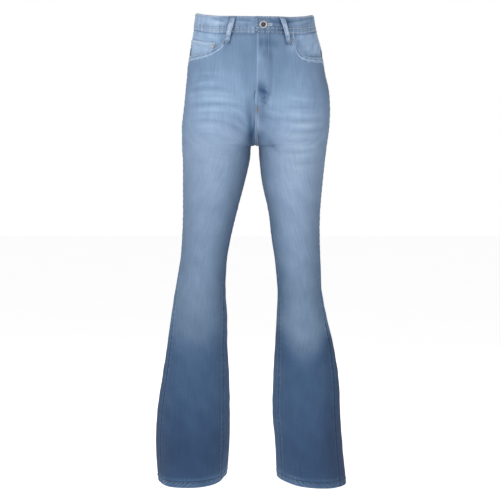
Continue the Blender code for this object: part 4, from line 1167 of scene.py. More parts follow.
def leg_rows(first):
    """Levels of a fine panel down to the lower edge, close together at the crotch and the hem."""
    upper = np.linspace(first, CROTCH + 0.030, int((first - CROTCH - 0.030) / CELL) + 2)
    roots = np.linspace(above(CROTCH + 0.030), 0.0, 14)[1:]
    crotch = CROTCH + roots**2
    under = CROTCH - np.array([0.0004, 0.0012, 0.0025, 0.0045, 0.007, 0.010])
    legs = np.arange(CROTCH - 0.013, HEM + HEM_DEPTH + 0.004, -CELL)
    hem = HEM + HEM_DEPTH + np.array([0.003, 0.0015, 0.0006, 0.0])
    turned_up = HEM + HEM_DEPTH - np.array(HEM_STEPS)
    return np.concatenate([upper, crotch, under, legs, hem, turned_up])


def hem_slant(level, along, seed):
    """Where a place lies across the slanting twists of the turned-up edge, as an angle."""
    run = along + HEM_SLANT * (level - HEM) + 0.003 * wobble(along, level, seed, 0.06)
    return 2 * math.pi * run / HEM_TWIST


def hem_relief(level, along, seed):
    """The turned hem: a groove at its stitches, and slanting ridges where it has twisted."""
    above_edge = level - HEM
    inside = ease((HEM_DEPTH - above_edge) / 0.003) * ease(above_edge / 0.0015)
    rope = 0.0007 * np.sin(hem_slant(level, along, seed))
    groove = -0.0006 * bell(above_edge - HEM_DEPTH + 0.0015, 0.0014)
    rounded = -0.0009 * bell(above_edge, 0.0009)
    return rope * inside * (0.6 + 0.4 * wobble(along, level, seed + 1, 0.09)) + groove + rounded


def hem_wear_and_shade(level, along, seed):
    """Pale worn ridges along the hem's lower edge and its slanting twists, painted shade in ticks along the
    groove at its stitches, and paler worn cloth over the row.
    """
    above_edge = level - HEM
    inside = ease((HEM_DEPTH + 0.002 - above_edge) / 0.006)
    twist = np.sin(hem_slant(level, along, seed) + 1.5 * wobble(along, level, seed + 2, 0.08))
    patchy = 0.5 + 0.5 * wobble(along, level, seed + 3, 0.05)
    at_row = bell(above_edge - HEM_DEPTH + 0.0014, 0.0016)
    over_row = bell(above_edge - HEM_DEPTH - 0.0035, 0.0035)
    edge = bell(above_edge, 0.0022)
    ticks = ticked(along, TICK_PITCH, along, level, seed + 5, 0.04)
    worn = inside * (0.12 + 0.34 * np.maximum(twist, 0.0) * patchy) + 0.10 * edge
    return worn - (0.08 + 0.26 * ticks) * at_row + (0.10 + 0.10 * ticks) * over_row * (0.4 + 0.6 * patchy)


def seam_wear_and_shade(distance, run, seed):
    """Pale worn spots along a seam's ridge, and painted shade along its groove."""
    spots = np.maximum(uneven(run, PUCKER_LENGTH, run, 0 * run, seed, 0.06), -0.4)
    ridge = bell(distance - SEAM_RIDGE_AT, 0.0032)
    groove = bell(distance, 0.0016)
    return 0.13 * ridge * (0.5 + 0.5 * spots) - 0.26 * groove


def scoop_columns(side, count):
    """Shares of a scoop's width, spaced evenly along its edge, with the depth at each as a share."""
    scoop = row_for(side, SCOOPS, SCOOP_COLUMNS)
    turn = np.linspace(0.0, math.pi / 2, 400) ** 1.5 / (math.pi / 2) ** 0.5
    across = np.maximum(np.cos(turn), 0.0) ** (2 / scoop["power"])
    deep = np.sin(turn) ** (2 / scoop["power"])
    steps = np.hypot(np.diff(across * scoop["width"]), np.diff(deep * scoop["depth"]))
    run = np.concatenate([[0.0], np.cumsum(steps)])
    even = np.linspace(0.0, run[-1], count)
    even = np.sort(np.concatenate([even, [0.001], run[-1] - np.array(EDGE_STEPS[1:])]))
    return np.interp(even, run, across), np.interp(even, run, deep)


def fly_row_at(level, inset=0.0):
    """The length at which the fly's curved row of stitches runs at a level."""
    turn = np.clip((FLY_ROW_TURNS - level) / (FLY_ROW_TURNS - (FLY_ROW_ENDS + inset)), 0.0, 1.0)
    return (FLY_ROW - inset - FLY_EDGE) * np.sqrt(np.maximum(1 - turn**2, 0.0)) + FLY_EDGE


def fly_relief(level, along):
    """Grooves along the fly's rows of stitches, and the crumpled cloth inside their turn."""
    inside = ease((level - FLY_ROW_ENDS) / 0.004)
    away = np.abs(along - fly_row_at(level))
    groove = -0.0006 * bell(away, 0.0022) * inside
    crumple = 0.0016 * wobble(along * 1.6, level, 21, 0.014)
    where = bell(along - 0.018, 0.013) * bell(level + 0.151, 0.022)
    return groove + crumple * where


def front_columns(start, end, across, scoop_width, settle):
    """Lengths across a front: close at its edges, along the scoop at the top, and even lower down."""
    steps = np.array(EDGE_STEPS)
    width = end - start
    wide = width[0, 0]
    beside = np.linspace(steps[-1], wide - scoop_width, BESIDE_SCOOP - len(steps) + 1)[1:-1]
    corner = wide - scoop_width
    at_top = np.concatenate([steps, beside, [corner - EDGE_STEPS[1]], wide - scoop_width * across])
    spread = np.linspace(0, 1, len(at_top) - len(steps) + 1)[None, 1:]
    even = np.hstack([steps[None, :] + 0 * width[:, :1], steps[-1] + (width[:, :1] - steps[-1]) * spread])
    along = start + at_top[None, :] * width / wide * (1 - settle) + even * settle
    along[:, -1] = end[:, -1]
    return along


def scoop_edge(first, levels, along):
    """The relief, the pale worn border and the painted shade of a front's top: a bordered scoop, and puckers
    beside it under the waistband. The dark ticks at the scoop's rows of stitches are painted shade of their
    puckers, and the darkening under the waistband is a painted shadow.
    """
    from_top = first[None, :] - levels
    pocket = np.where(np.arange(len(first))[None, :] >= BESIDE_SCOOP - 1, 1.0, 0.0) * np.ones_like(levels)
    border = ease((0.0150 - from_top) / 0.0040) * pocket
    rows = bell(from_top - 0.0034, 0.0013) + bell(from_top - 0.0115, 0.0013)
    edge_run = along + 1.6 * (first[None, :] + 0 * levels)
    ticks = ticked(edge_run, TICK_PITCH, along, levels, 33, 0.03)
    worn = 0.27 + 0.08 * wobble(along, levels, 39, 0.010)
    # Pale worn border, with ticks of painted shade at its rows of stitches
    wear_and_shade = worn * border + 0.08 * bell(from_top, 0.0045) * pocket - (0.18 + 0.46 * ticks) * rows * border
    relief = 0.0006 * bell(from_top - 0.004, 0.0035) * pocket - 0.0005 * bell(from_top, 0.0008) * pocket
    under_band = bell(from_top, 0.006) * (1 - pocket)
    puckers = uneven(along, 0.011, along, levels, 9, 0.05)
    # The darkening under the waistband is a painted shadow.
    return relief + 0.0004 * under_band * puckers, wear_and_shade - 0.12 * under_band


def front(side):
    """A front panel. Its top edge follows the pocket's scoop, and the left one laps over the fly."""
    on_left = side == "left"
    seed = 3 if on_left else 4
    hem_seed = 31 if on_left else 37
    scoop = row_for(side, SCOOPS, SCOOP_COLUMNS)
    across, deep = scoop_columns(side, 50)
    first = BAND_SEAM - GAP - np.concatenate([np.zeros(BESIDE_SCOOP), scoop["depth"] * deep])
    v = np.concatenate([[0.0, 0.012, 0.022], np.linspace(0.0, 1.0, 36)[1:-1]])[:, None]
    lower = leg_rows(EVEN_FROM)
    levels = np.concatenate([first * (1 - v) + EVEN_FROM * v, lower[:, None] * np.ones((1, len(first)))])
    start, end = front_ends(side, levels)
    if on_left:
        start = start - SEAM_CLOSES * (levels > CROTCH)
    settle = np.concatenate([ease(v), np.ones((len(lower), 1))])
    along = front_columns(start, end, across, scoop["width"], settle)
    by_fly = ease((levels - FLY_ENDS) / 0.02)
    below_fly = ease((FLY_ENDS - levels) / 0.01) if on_left else 1.0
    lift = fly_lift(levels, along) if on_left else 0.0 * levels
    relief = seam_relief(end - along, levels, seed) * ease((-0.070 - levels) / 0.01)
    relief = relief + seam_relief(along - start, levels, 8) * below_fly
    relief = relief + hem_relief(levels, along, hem_seed)
    wear_and_shade = hem_wear_and_shade(levels, along, hem_seed) + seam_wear_and_shade(end - along, levels, seed)
    wear_and_shade = wear_and_shade + seam_wear_and_shade(along - start, levels, 8) * ease((CROTCH - levels) / 0.02)
    top_relief, top_wear_and_shade = scoop_edge(first, levels, along)
    relief = relief + top_relief
    wear_and_shade = wear_and_shade + top_wear_and_shade - loop_shadow(side, levels, along)
    folded = 0.0
    if on_left:
        relief = relief + fly_relief(levels, along) - 0.0006 * bell(along - start, 0.0010) * by_fly
        # Pale along the worn folded edge of the fly, and darker a little way in from it.
        fly_edge_tone = 0.14 * bell(along - start, 0.0022) - 0.06 * bell(along - start - 0.008, 0.004)
        wear_and_shade = wear_and_shade + fly_edge_tone * by_fly
        # Painted shade along the groove of the fly's curved rows of stitches.
        wear_and_shade = wear_and_shade - 0.05 * bell(along - fly_row_at(levels), 0.003) * ease((levels - FLY_ROW_ENDS) / 0.004)
        folded = 0.0016 * np.exp(-(((along - start) / 0.0030) ** 4)) * ease((levels - FLY_FLAT_ENDS) / 0.02)
    else:
        # Painted shadow of the left front's lap, beside the fly's edge.
        wear_and_shade = wear_and_shade - 0.05 * bell(along - FLY_EDGE, 0.0045) * by_fly
    under = lift - panel_wall(levels) - folded
    cloth_piece("front_" + side, side, levels, along, lift + relief, under, wear_and_shade)


def back(side):
    """A back panel, from the yoke to the lower edge. It runs on under its neighbours, to close the seams."""
    seed = 3 if side == "left" else 4
    lower = leg_rows(EVEN_FROM)
    u_top = np.linspace(0.0, 1.0, 78)[None, :]
    seam = yoke_level(YOKE_AT_SIDE, YOKE_AT_BACK, u_top) - GAP / 2 + SEAM_CLOSES
    v = np.concatenate([[0.0, 0.03, 0.08], np.linspace(0.14, 1.0, 16)[:-1]])[:, None]
    levels = np.concatenate([seam * (1 - v) + EVEN_FROM * v, lower[:, None] * np.ones((1, u_top.shape[1]))])
    start = to_side(side, levels) + GAP / 2 - SEAM_CLOSES
    closes = np.where((levels < CROTCH) | (side == "left"), SEAM_CLOSES, -ROUNDING)
    end = all_round(side, levels) + inseam(levels) + closes
    along = edged(start[:, :1], end[:, -1:], u_top.shape[1] - 2 * len(EDGE_STEPS) + 1)
    below_yoke = seam[0][None, :] - levels
    under_yoke = bell(below_yoke - 0.004, 0.003)
    relief = seam_relief(along - start, levels, seed) + seam_relief(end - along, levels, 8)
    relief = relief + hem_relief(levels, along, seed + 40)
    relief = relief + 0.0005 * under_yoke - 0.0006 * bell(below_yoke, 0.001)
    # Painted shade in the groove just under the yoke's seam, and a pale worn ridge below it.
    wear_and_shade = hem_wear_and_shade(levels, along, seed + 40) - 0.10 * bell(below_yoke, 0.0016) + 0.05 * under_yoke
    wear_and_shade = wear_and_shade + seam_wear_and_shade(along - start, levels, seed) + seam_wear_and_shade(end - along, levels, 8)
    cloth_piece("back_" + side, side, levels, along, relief, -panel_wall(levels), wear_and_shade)


def yoke_piece(side):
    """A yoke, which laps over the back panel's edge."""
    u = np.linspace(0.0, 1.0, 60)[None, :]
    v = np.concatenate([[0.0, 0.03], np.linspace(0.07, 0.93, 18), [0.97, 1.0]])[:, None]
    seam = yoke_level(YOKE_AT_SIDE, YOKE_AT_BACK, u) + GAP / 2
    levels = (BAND_SEAM - GAP) * (1 - v) + seam * v
    start = to_side(side, levels) + GAP / 2
    end = all_round(side, levels)
    along = start + (end - start) * u
    above_seam = levels - seam
    relief = 0.6 * (seam_relief(along - start, levels, 5) + seam_relief(end - along, levels, 6))
    relief = relief + 0.0005 * bell(above_seam - 0.004, 0.003) - 0.0004 * bell(above_seam, 0.001)
    wear_and_shade = 0.10 * bell(above_seam, 0.003) + 0.6 * seam_wear_and_shade(end - along, levels, 6)
    # Painted shadow under the waistband.
    wear_and_shade = wear_and_shade - 0.10 * bell(BAND_SEAM - levels, 0.004)
    cloth_piece("yoke_" + side, side, levels, along, relief, -WALL, wear_and_shade)


def scooped_out(side, level, away):
    """How far down and along a pocket's scoop a place lies: 1 at its edge."""
    scoop = row_for(side, SCOOPS, SCOOP_COLUMNS)
    deep = np.maximum(BAND_SEAM - level, 0.0) / scoop["depth"]
    return ((away / scoop["width"]) ** scoop["power"] + deep ** scoop["power"]) ** (1 / scoop["power"])


def facing_place(side, level, away):
    """The length and offset of a pocket's facing, a distance from the side seam."""
    seam = to_side(side, np.minimum(level, BAND_SEAM - GAP)) - GAP / 2
    inside = 1 - scooped_out(side, level, away)
    under = WALL + GAP + FACET + (THIN_WALL + GAP if side == "right" else 0.0)
    out = -under * (1 - ease((inside - FACING_RISES_FROM) / FACING_RISES_OVER))
    behind_band = ease((level - BAND_SEAM + 0.0022) / 0.0015)
    out = np.minimum(out, out * (1 - behind_band) - (BAND_WALL - BAND_PROUD + GAP) * behind_band)
    return seam - away, out


def facing_piece(side):
    """The denim inside a front pocket, closed up behind the waistband."""
    scoop = row_for(side, SCOOPS, SCOOP_COLUMNS)
    rise = np.array([0.0060, 0.0030, 0.0008, -0.0003, -0.0012, -0.0022])
    down = np.linspace(-0.0040, -(scoop["depth"] + FACING_REACH), 30)
    away = np.linspace(scoop["width"] + FACING_REACH, 0.0, 60)[None, :]
    levels = (BAND_SEAM + np.concatenate([rise, down]))[:, None] + 0 * away
    away = away + 0 * levels
    along, out = facing_place(side, levels, away)
    # Painted shade near the scoop's edge, where the facing runs in under the front, and a painted shadow
    # under the waistband.
    shaded = ease((scooped_out(side, levels, away) - 0.78) / 0.2)
    mottled = 0.05 * wobble(along, levels, 41, 0.016) + 0.04 * wobble(along, levels, 43, 0.007)
    tone = TRIM_TONE + mottled - 0.16 * shaded - 0.10 * bell(BAND_SEAM - levels, 0.004)
    tone = tone + 0.02 * wobble(along, levels, 14, 0.03)
    name = "pocket_facing_" + side
    cloth_piece(name, side, levels, along, out, out - THIN_WALL, 0.0, tone)


def coin_pocket_place(u, v):
    """The level, length and offset at a share across and down the coin pocket, on the facing's own lines."""
    scoop = row_for("right", SCOOPS, SCOOP_COLUMNS)
    row = COIN_ROWS[0] + (COIN_ROWS[1] - COIN_ROWS[0]) * v
    column = COIN_COLUMNS[0] + (COIN_COLUMNS[1] - COIN_COLUMNS[0]) * u
    level = BAND_SEAM - GAP - row / (FACING_ROWS - 1) * (scoop["depth"] + FACING_REACH)
    away = (scoop["width"] + FACING_REACH) * (1 - column / (FACING_COLUMNS - 1))
    along, out = facing_place("right", level, away)
    return level, along, out


def coin_pocket_piece():
    """The coin pocket, with its turned top edge. Its rivet, at its inner corner, is made with the button."""
    u = np.concatenate([[0.0, 0.02], np.linspace(0.05, 0.95, 22), [0.98, 1.0]])[None, :]
    v = np.concatenate([[0.0, 0.02], np.linspace(0.05, 0.95, 20), [0.98, 1.0]])[:, None]
    level, along, out = coin_pocket_place(u + 0 * v, v + 0 * u)
    near_top = bell(v, 0.10) + 0 * u
    relief = 0.0006 * near_top - 0.0004 * bell(v - 0.20, 0.03)
    # Paler along the worn turned top, and painted shade in the groove at the lower row of stitches.
    tone = TRIM_TONE + 0.02 + 0.10 * near_top - 0.05 * bell(v - 0.20, 0.04)
    tone = tone + 0.02 * wobble(along, level, 15, 0.03)
    stands = out + GAP + THIN_WALL + relief
    cloth_piece("coin_pocket", "right", level, along, stands, out + GAP, 0.0, tone)


def band_grid(levels):
    """The lengths along the waistband: from the end under the fly, round the back, to the end over it."""
    grids = []
    for level in levels:
        on_right = np.linspace(-BAND_UNDERLAP, round_at("right", level), 130)
        on_left = np.linspace(round_at("left", level), BAND_EDGE + EDGE_STEPS[3], 110)[1:]
        on_left = np.concatenate([on_left, BAND_EDGE + np.array(EDGE_STEPS[2::-1])])
        grids.append((on_right, on_left))
    return grids


def band_marks(side, level, along):
    """Painted shade of creases along the waistband, and pale creases where paler is positive."""
    total = np.zeros(np.shape(along))
    for row in rows_of(BAND_MARKS, BAND_MARK_COLUMNS):
        if row["side"] == side:
            s = np.clip((along - row["first"]) / (row["last"] - row["first"]), 0.0, 1.0)
            middle = row["level_first"] + (row["level_last"] - row["level_first"]) * s
            ends = np.where((s > 0) & (s < 1), np.sin(math.pi * s) ** 0.5, 0.0)
            total = total + row["paler"] * ends * bell(level - middle, row["width"])
    return total


def loop_shadow(side, level, along):
    """The painted shadow beside the front belt loops."""
    total = np.zeros(np.shape(along))
    for loop in rows_of(LOOPS, LOOP_COLUMNS):
        if loop["side"] == side and loop["end"] == "front":
            v = (level - LOOP_RUN[0][0]) / (LOOP_RUN[-1][0] - LOOP_RUN[0][0])
            middle = loop["bottom"] + (loop["top"] - loop["bottom"]) * v
            beside = bell(np.abs(along - middle) - LOOP_WIDTH / 2, 0.0028)
            total = total + LOOP_SHADOW * beside * ease((v + 0.10) / 0.1)
    return total


def waistband_piece():
    """The waistband: a folded strip with rounded edges, puckered at its rows of stitches."""
    height = BAND_TOP - BAND_SEAM
    v = np.concatenate([[0.0, 0.02, 0.05, 0.09], np.linspace(0.14, 0.88, 14), [0.92, 0.955, 0.98, 1.0]])
    levels = BAND_SEAM + height * v
    rows = {"outer": [], "inner": [], "flat": [], "tone": [], "wear_and_shade": []}
    for level, share, (on_right, on_left) in zip(levels, v, band_grid(levels)):
        rounded = -0.0007 * (bell(share, 0.022) + bell(1 - share, 0.022))
        low_row = bell(level - BAND_SEAM - BAND_INSET, BAND_ROW_WIDTH)
        mid_row = bell(level - BAND_SEAM - BAND_SECOND_ROW, BAND_ROW_WIDTH)
        top_row = bell(BAND_TOP - level - BAND_INSET, BAND_ROW_WIDTH)
        parts = {key: [] for key in rows}
        for side, along, lift in (("right", on_right, 0.0 * on_right), ("left", on_left, band_lift(on_left))):
            run = along if side == "right" else -along
            grid = level + 0 * run
            pucker = ticked(run, BAND_TICK_PITCH, run, 0 * run, 17, 0.05)
            relief = rounded - 0.0004 * (low_row + mid_row + top_row) * (0.5 + 0.5 * pucker)
            relief = relief + 0.0007 * wobble(run, grid, 19, 0.04) * math.sin(math.pi * share)
            end = bell(along - BAND_EDGE, 0.0010) if side == "left" else 0.0
            relief = relief - 0.0006 * end
            outer, _ = skin(side, level, along, BAND_PROUD + lift + relief)
            inner, _ = skin(side, level, along, BAND_PROUD - BAND_WALL + lift)
            # The right half, nearer the key light at the upper left, is painted paler than the left: painted
            # light. Both halves grow paler towards the sides.
            if side == "right":
                tone = 0.60 + 0.18 * ease((along - 0.045) / 0.05)
            else:
                tone = 0.50 - 0.08 * bell(along - 0.045, 0.02) + 0.14 * ease((along - 0.070) / 0.03)
            tone = tone + band_marks(side, level, along) - loop_shadow(side, level, along)
            # Painted shade in the puckers along the rows of stitches, and beside the left end's edge.
            tone = tone - (0.52 * (low_row + mid_row) + 0.16 * top_row) * (1 - pucker)
            if side == "left":
                tone = tone - 0.20 * bell(along - BAND_EDGE - 0.0038, 0.0022)
            wear_and_shade = 0.26 * bell(1 - share, 0.05) + 0.16 * end + 0.05 * bell(share, 0.05)
            wear_and_shade = wear_and_shade + 0.17 * (low_row + mid_row) * pucker
            flat = np.stack([run + (0.0 if side == "right" else LEFT_WEAVE), grid], axis=-1)
            mottled = 0.04 * wobble(run, grid, 23, 0.04) + 0.05 * wobble(run, grid, 29, 0.012)
            for key, value in zip(parts, (outer, inner, flat, tone + mottled, wear_and_shade + 0 * along)):
                parts[key].append(value)
        for key, value in parts.items():
            rows[key].append(np.concatenate(value))
    outer, inner, flat, tone, wear_and_shade = (np.array(value) for value in rows.values())
    fields = {"tone": tone, "wear_and_shade": wear_and_shade, "blue": BAND_TINT + 0 * tone}
    made = shell("waistband_cloth", outer, inner, flat, fields, DENIM, "waistband")


def loop_place(loop, v, across):
    """The side, level, length and offset at a share up a belt loop and a distance across it."""
    levels = LOOP_RUN[0][0] + (LOOP_RUN[-1][0] - LOOP_RUN[0][0]) * v
    places, stands = (read(LOOP_RUN, LOOP_RUN_COLUMNS, name) for name in ("level", "stand"))
    stand = np.maximum(on_curve(levels, places, stands), LOOP_RUN[0][1])
    along = loop["bottom"] + (loop["top"] - loop["bottom"]) * v + across
    if loop["end"] == "back":
        along = all_round(loop["side"], levels + 0 * along) - along
    lift = 0.0 * along
    if loop["name"] == "belt_loop_front_left":
        lift = np.maximum(fly_lift(levels, along), band_lift(along))
    return levels + 0 * along, along, stand + lift


def loop_piece(loop):
    """A belt loop: a folded strip with worn edges, sewn down at both ends."""
    v = np.concatenate([[0.0, 0.015], np.linspace(0.04, 0.96, 40), [0.985, 1.0]])[:, None]
    share = np.array([-1.0, -0.93, -0.8, -0.6, -0.3, 0.0, 0.3, 0.6, 0.8, 0.93, 1.0])[None, :]
    across = LOOP_WIDTH / 2 * share
    level, along, out = loop_place(loop, v, across)
    relief = -0.0007 * np.abs(share) ** 8 + 0.0003 * bell(np.abs(share) - 0.8, 0.15)
    relief = relief - 0.0003 * bell(share, 0.35) + 0.0003 * wobble(v * 0.06, across, 27, 0.02)
    outer, way = skin(loop["side"], level, along, out + WALL + relief)
    inner, _ = skin(loop["side"], level, along, out)
    tone = 0.76 + 0 * level + 0.13 * wobble(v * 0.06, across, 25, 0.012)
    # Painted shade at both ends and at the lower bend, where the loop turns in to the cloth.
    tone = tone - 0.40 * bell(v, 0.09) - 0.22 * bell(1 - v, 0.07) - 0.12 * bell(v - 0.25, 0.05)
    # Pale worn edges, with painted shade on their rounded rims.
    wear_and_shade = 0.14 * bell(np.abs(share) - 0.7, 0.2) - 0.45 * np.abs(share) ** 12
    wear_and_shade = wear_and_shade + 0.10 * bell(v - 0.62, 0.2) + 0 * level
    fields = fields_of(loop["side"], level, outer, way, wear_and_shade, tone)
    fields["blue"] = 0 * level
    flat = np.stack([across + 0 * v, level], axis=-1)
    name = loop["name"]
    made = shell(name + "_cloth", outer, inner, flat, fields, DENIM, name)


def pocket_place(side, u, v):
    """The level and length at a place on a back pocket: u from side to side, v down."""
    slope = PATCH_SLOPE * (YOKE_AT_SIDE - YOKE_AT_BACK)
    bottom = PATCH_HEIGHT + PATCH_POINT * (1 - np.abs(u))
    level = PATCH_TOP + slope * u - v * bottom
    half = PATCH_WIDTH / 2 * (1 - PATCH_TAPER * v)
    return level, all_round(side, level) - PATCH_FROM_BACK - half * u


def pocket_piece(side):
    """A back pocket with a turned top and puckered edges."""
    u = np.concatenate([[-1.0, -0.985, -0.96], np.linspace(-0.93, 0.93, 41), [0.96, 0.985, 1.0]])[None, :]
    v = np.concatenate([[0.0, 0.01, 0.03], np.linspace(0.055, 0.945, 44), [0.97, 0.99, 1.0]])[:, None]
    level, along = pocket_place(side, u + 0 * v, v + 0 * u)
    edge = np.minimum((1 - np.abs(u)) * PATCH_WIDTH / 2, (1 - v) * PATCH_HEIGHT) + 0 * u * v
    pucker = ticked(level + along, 0.012, along, level, 29, 0.05)
    relief = 0.0005 * bell(edge - 0.0045, 0.0035) * (0.4 + 0.6 * pucker)
    relief = relief - 0.0005 * bell(edge, 0.0010) + 0.0006 * bell(v, 0.04) - 0.0004 * bell(v - 0.11, 0.015)
    wear_and_shade = 0.11 * bell(edge, 0.004) * (0.4 + 0.6 * pucker) + 0.12 * bell(v, 0.03) + 0 * level
    under = GAP + FACET
    name = "back_pocket_" + side
    cloth_piece(name, side, level, along, under + WALL + relief, under, wear_and_shade, paler=0.03)


def strip_piece(name, out, thick, finishes, tone):
    """A strip behind the fly."""
    strip = row_named(name, FLY_STRIPS, FLY_STRIP_COLUMNS)
    v = np.linspace(0.0, 1.0, 44)[:, None]
    levels = strip["top"] + (strip["bottom"] - strip["top"]) * v
    far = strip["last"] + 0 * v
    if strip["rounded"]:
        near_end = np.clip((strip["bottom"] + strip["rounded"] - levels) / strip["rounded"], 0.0, NEAREST_END)
        far = strip["first"] + (far - strip["first"]) * np.sqrt(1 - near_end**2)
    along = strip["first"] + (far - strip["first"]) * np.linspace(0.0, 1.0, 14)[None, :]
    grid = levels + 0 * along
    cloth_piece(name, "left", grid, along, out, out - thick, 0.0, tone + 0 * grid, finishes=finishes)


def turned(name, profile, radius, place, way, segments, finishes, node):
    """A round metal piece, turned about a direction from a profile of shares of its radius and heights."""
    aside = np.cross(way, (0.0, 0.0, 1.0))
    aside /= np.linalg.norm(aside)
    upward = np.cross(aside, way)
    angles = np.linspace(0.0, 2 * math.pi, segments, endpoint=False)
    spokes = np.outer(np.cos(angles), aside) + np.outer(np.sin(angles), upward)
    points = np.concatenate([place + way * height + radius * share * spokes for share, height in profile])
    faces = []
    for ring in range(len(profile) - 1):
        for s in range(segments):
            a = ring * segments + s
            b = ring * segments + (s + 1) % segments
            faces.append((a, b, b + segments, a + segments))
    faces.append(tuple(range(segments))[::-1])
    faces.append(tuple((len(profile) - 1) * segments + s for s in range(segments)))
    if np.dot(np.cross(aside, upward), way) < 0:
        faces = [face[::-1] for face in faces]
    mesh = bpy.data.meshes.new(name)
    mesh.from_pydata(points.tolist(), [], faces)
    for finish in finishes:
        mesh.materials.append(finish)
    for face in mesh.polygons:
        middle = np.array(face.center) - place
        off_axis = np.linalg.norm(middle - way * np.dot(middle, way))
        face.material_index = int(len(finishes) > 1 and off_axis < HOLLOW_SHARE * radius)
    mesh.shade_smooth()
    mesh.set_sharp_from_angle(angle=math.radians(50))
    place_mesh(name, mesh, node)


def metal_pieces():
    """The shank button and the coin pocket's rivet."""
    level = np.array([0.0])
    out = BAND_PROUD + float(band_lift(np.array(BUTTON_AT))) + GAP
    place, way = skin("left", level, np.array([BUTTON_AT]), out)
    finishes = [PEWTER, DARK_PEWTER]
    turned("button_shank", BUTTON_RINGS, BUTTON_WIDTH / 2, place[0], way[0], 72, finishes, "button")
    level, along, out = coin_pocket_place(np.array([0.0]), np.array([0.0]))
    level, along = level - RIVET_INSET, along + RIVET_INSET
    place, way = skin("right", level, along, out + THIN_WALL + 2 * GAP)
    name = "rivet_coin_pocket"
    turned("coin_pocket_rivet", RIVET_RINGS, RIVET_WIDTH / 2, place[0], way[0], 40, [RIVET], name)


class Sewing:
    """Rows of raised stitches, gathered into one mesh."""

    def __init__(self, name, finish, slot):
        self.name, self.finish, self.slot = name, finish, slot
        self.points, self.faces, self.count = [], [], 0

    def stitch(self, place, along, way, length, width, height):
        """One stitch: a short rounded bar that dips into the cloth at both ends."""
        aside = np.cross(way, along)
        rings = ((-0.5, 0.25, -0.4), (-0.34, 0.9, 0.5), (0.0, 1.0, 0.75), (0.34, 0.9, 0.5), (0.5, 0.25, -0.4))
        first = self.count
        for run, share, up in rings:
            centre = place + along * length * run + way * height * up
            for a, b in ((1, 0), (0.6, 1), (-0.6, 1), (-1, 0)):
                self.points.append(centre + aside * (a * width / 2 * share) + way * (b * height / 2 * share))
        for ring in range(len(rings) - 1):
            for k in range(3):
                a = first + ring * 4 + k
                self.faces.append((a, a + 4, a + 5, a + 1))
        self.count += 4 * len(rings)

    def row(self, points, ways, pitch=STITCH_PITCH, **sizes):
        """A row of stitches along a line of places."""
        length = sizes.get("length", STITCH_LENGTH)
        width = sizes.get("width", STITCH_WIDTH)
        height = sizes.get("height", STITCH_HEIGHT)
        steps = np.linalg.norm(np.diff(points, axis=0), axis=1)
        run = np.concatenate([[0.0], np.cumsum(steps)])
        count = max(int(run[-1] / pitch), 1)
        at = (np.arange(count) + 0.5) * run[-1] / count
        middle = np.stack([np.interp(at, run, points[:, k]) for k in range(3)], axis=1)
        ahead = np.stack([np.interp(at + length / 2, run, points[:, k]) for k in range(3)], axis=1)
        behind = np.stack([np.interp(at - length / 2, run, points[:, k]) for k in range(3)], axis=1)
        up = np.stack([np.interp(at, run, ways[:, k]) for k in range(3)], axis=1)
        for k in range(count):
            forward = ahead[k] - behind[k]
            forward = forward / max(np.linalg.norm(forward), 1e-9)
            way = up[k] - forward * np.dot(up[k], forward)
            self.stitch(middle[k], forward, way / np.linalg.norm(way), length, width, height)

    def on(self, side, level, along, out, **sizes):
        """A row along levels and lengths on one side's surface."""
        points, ways = skin(side, level, along, out)
        self.row(points, ways, **sizes)

    def bar_tack(self, side, level, along, out, tall, wide, lean=0.0):
        """A dense block of short stitches side by side."""
        count = int(tall / 0.0007)
        for k in range(count):
            v = (k + 0.5) / count - 0.5
            levels = np.array([level + v * tall] * 2)
            lengths = along + v * tall * lean + np.array([-wide / 2, wide / 2])
            self.on(side, levels, lengths, out, pitch=ONE_STITCH, length=wide, width=0.0008)

    def finish_mesh(self):
        """The stitches so far, as one piece."""
        mesh = bpy.data.meshes.new(self.name)
        mesh.from_pydata([tuple(p) for p in self.points], [], self.faces)
        mesh.materials.append(self.finish)
        mesh.shade_smooth()
        place_mesh(self.name, mesh)


def zip_teeth():
    """The chain: two rows of small teeth that mesh down the middle of the tape."""
    strip = row_named("zip_chain", FLY_STRIPS, FLY_STRIP_COLUMNS)
    pitch = 0.0013
    count = int((strip["top"] - strip["bottom"]) / pitch)
    points, faces = [], []
    for k in range(count):
        level = strip["top"] - (k + 0.5) * pitch
        aside = 1 if k % 2 else -1
        corners = []
        for dl in (-0.00045, 0.00045):
            for da in (-0.0008 * aside, 0.0026 * aside):
                corners.append((level + dl, ZIP_MIDDLE + da))
        levels = np.array([c[0] for c in corners])
        lengths = np.array([c[1] for c in corners])
        top, _ = skin("left", levels, lengths, -WALL)
        low, _ = skin("left", levels, lengths, -WALL - CHAIN_WALL)
        first = len(points)
        points.extend(list(top) + list(low))
        for face in ((0, 1, 3, 2), (4, 6, 7, 5), (0, 4, 5, 1), (2, 3, 7, 6), (0, 2, 6, 4), (1, 5, 7, 3)):
            faces.append(tuple(first + i for i in face))
    mesh = bpy.data.meshes.new("zip_teeth")
    mesh.from_pydata([tuple(p) for p in points], [], faces)
    mesh.materials.append(BRASS)
    place_mesh("zip_teeth", mesh, "zip_chain")


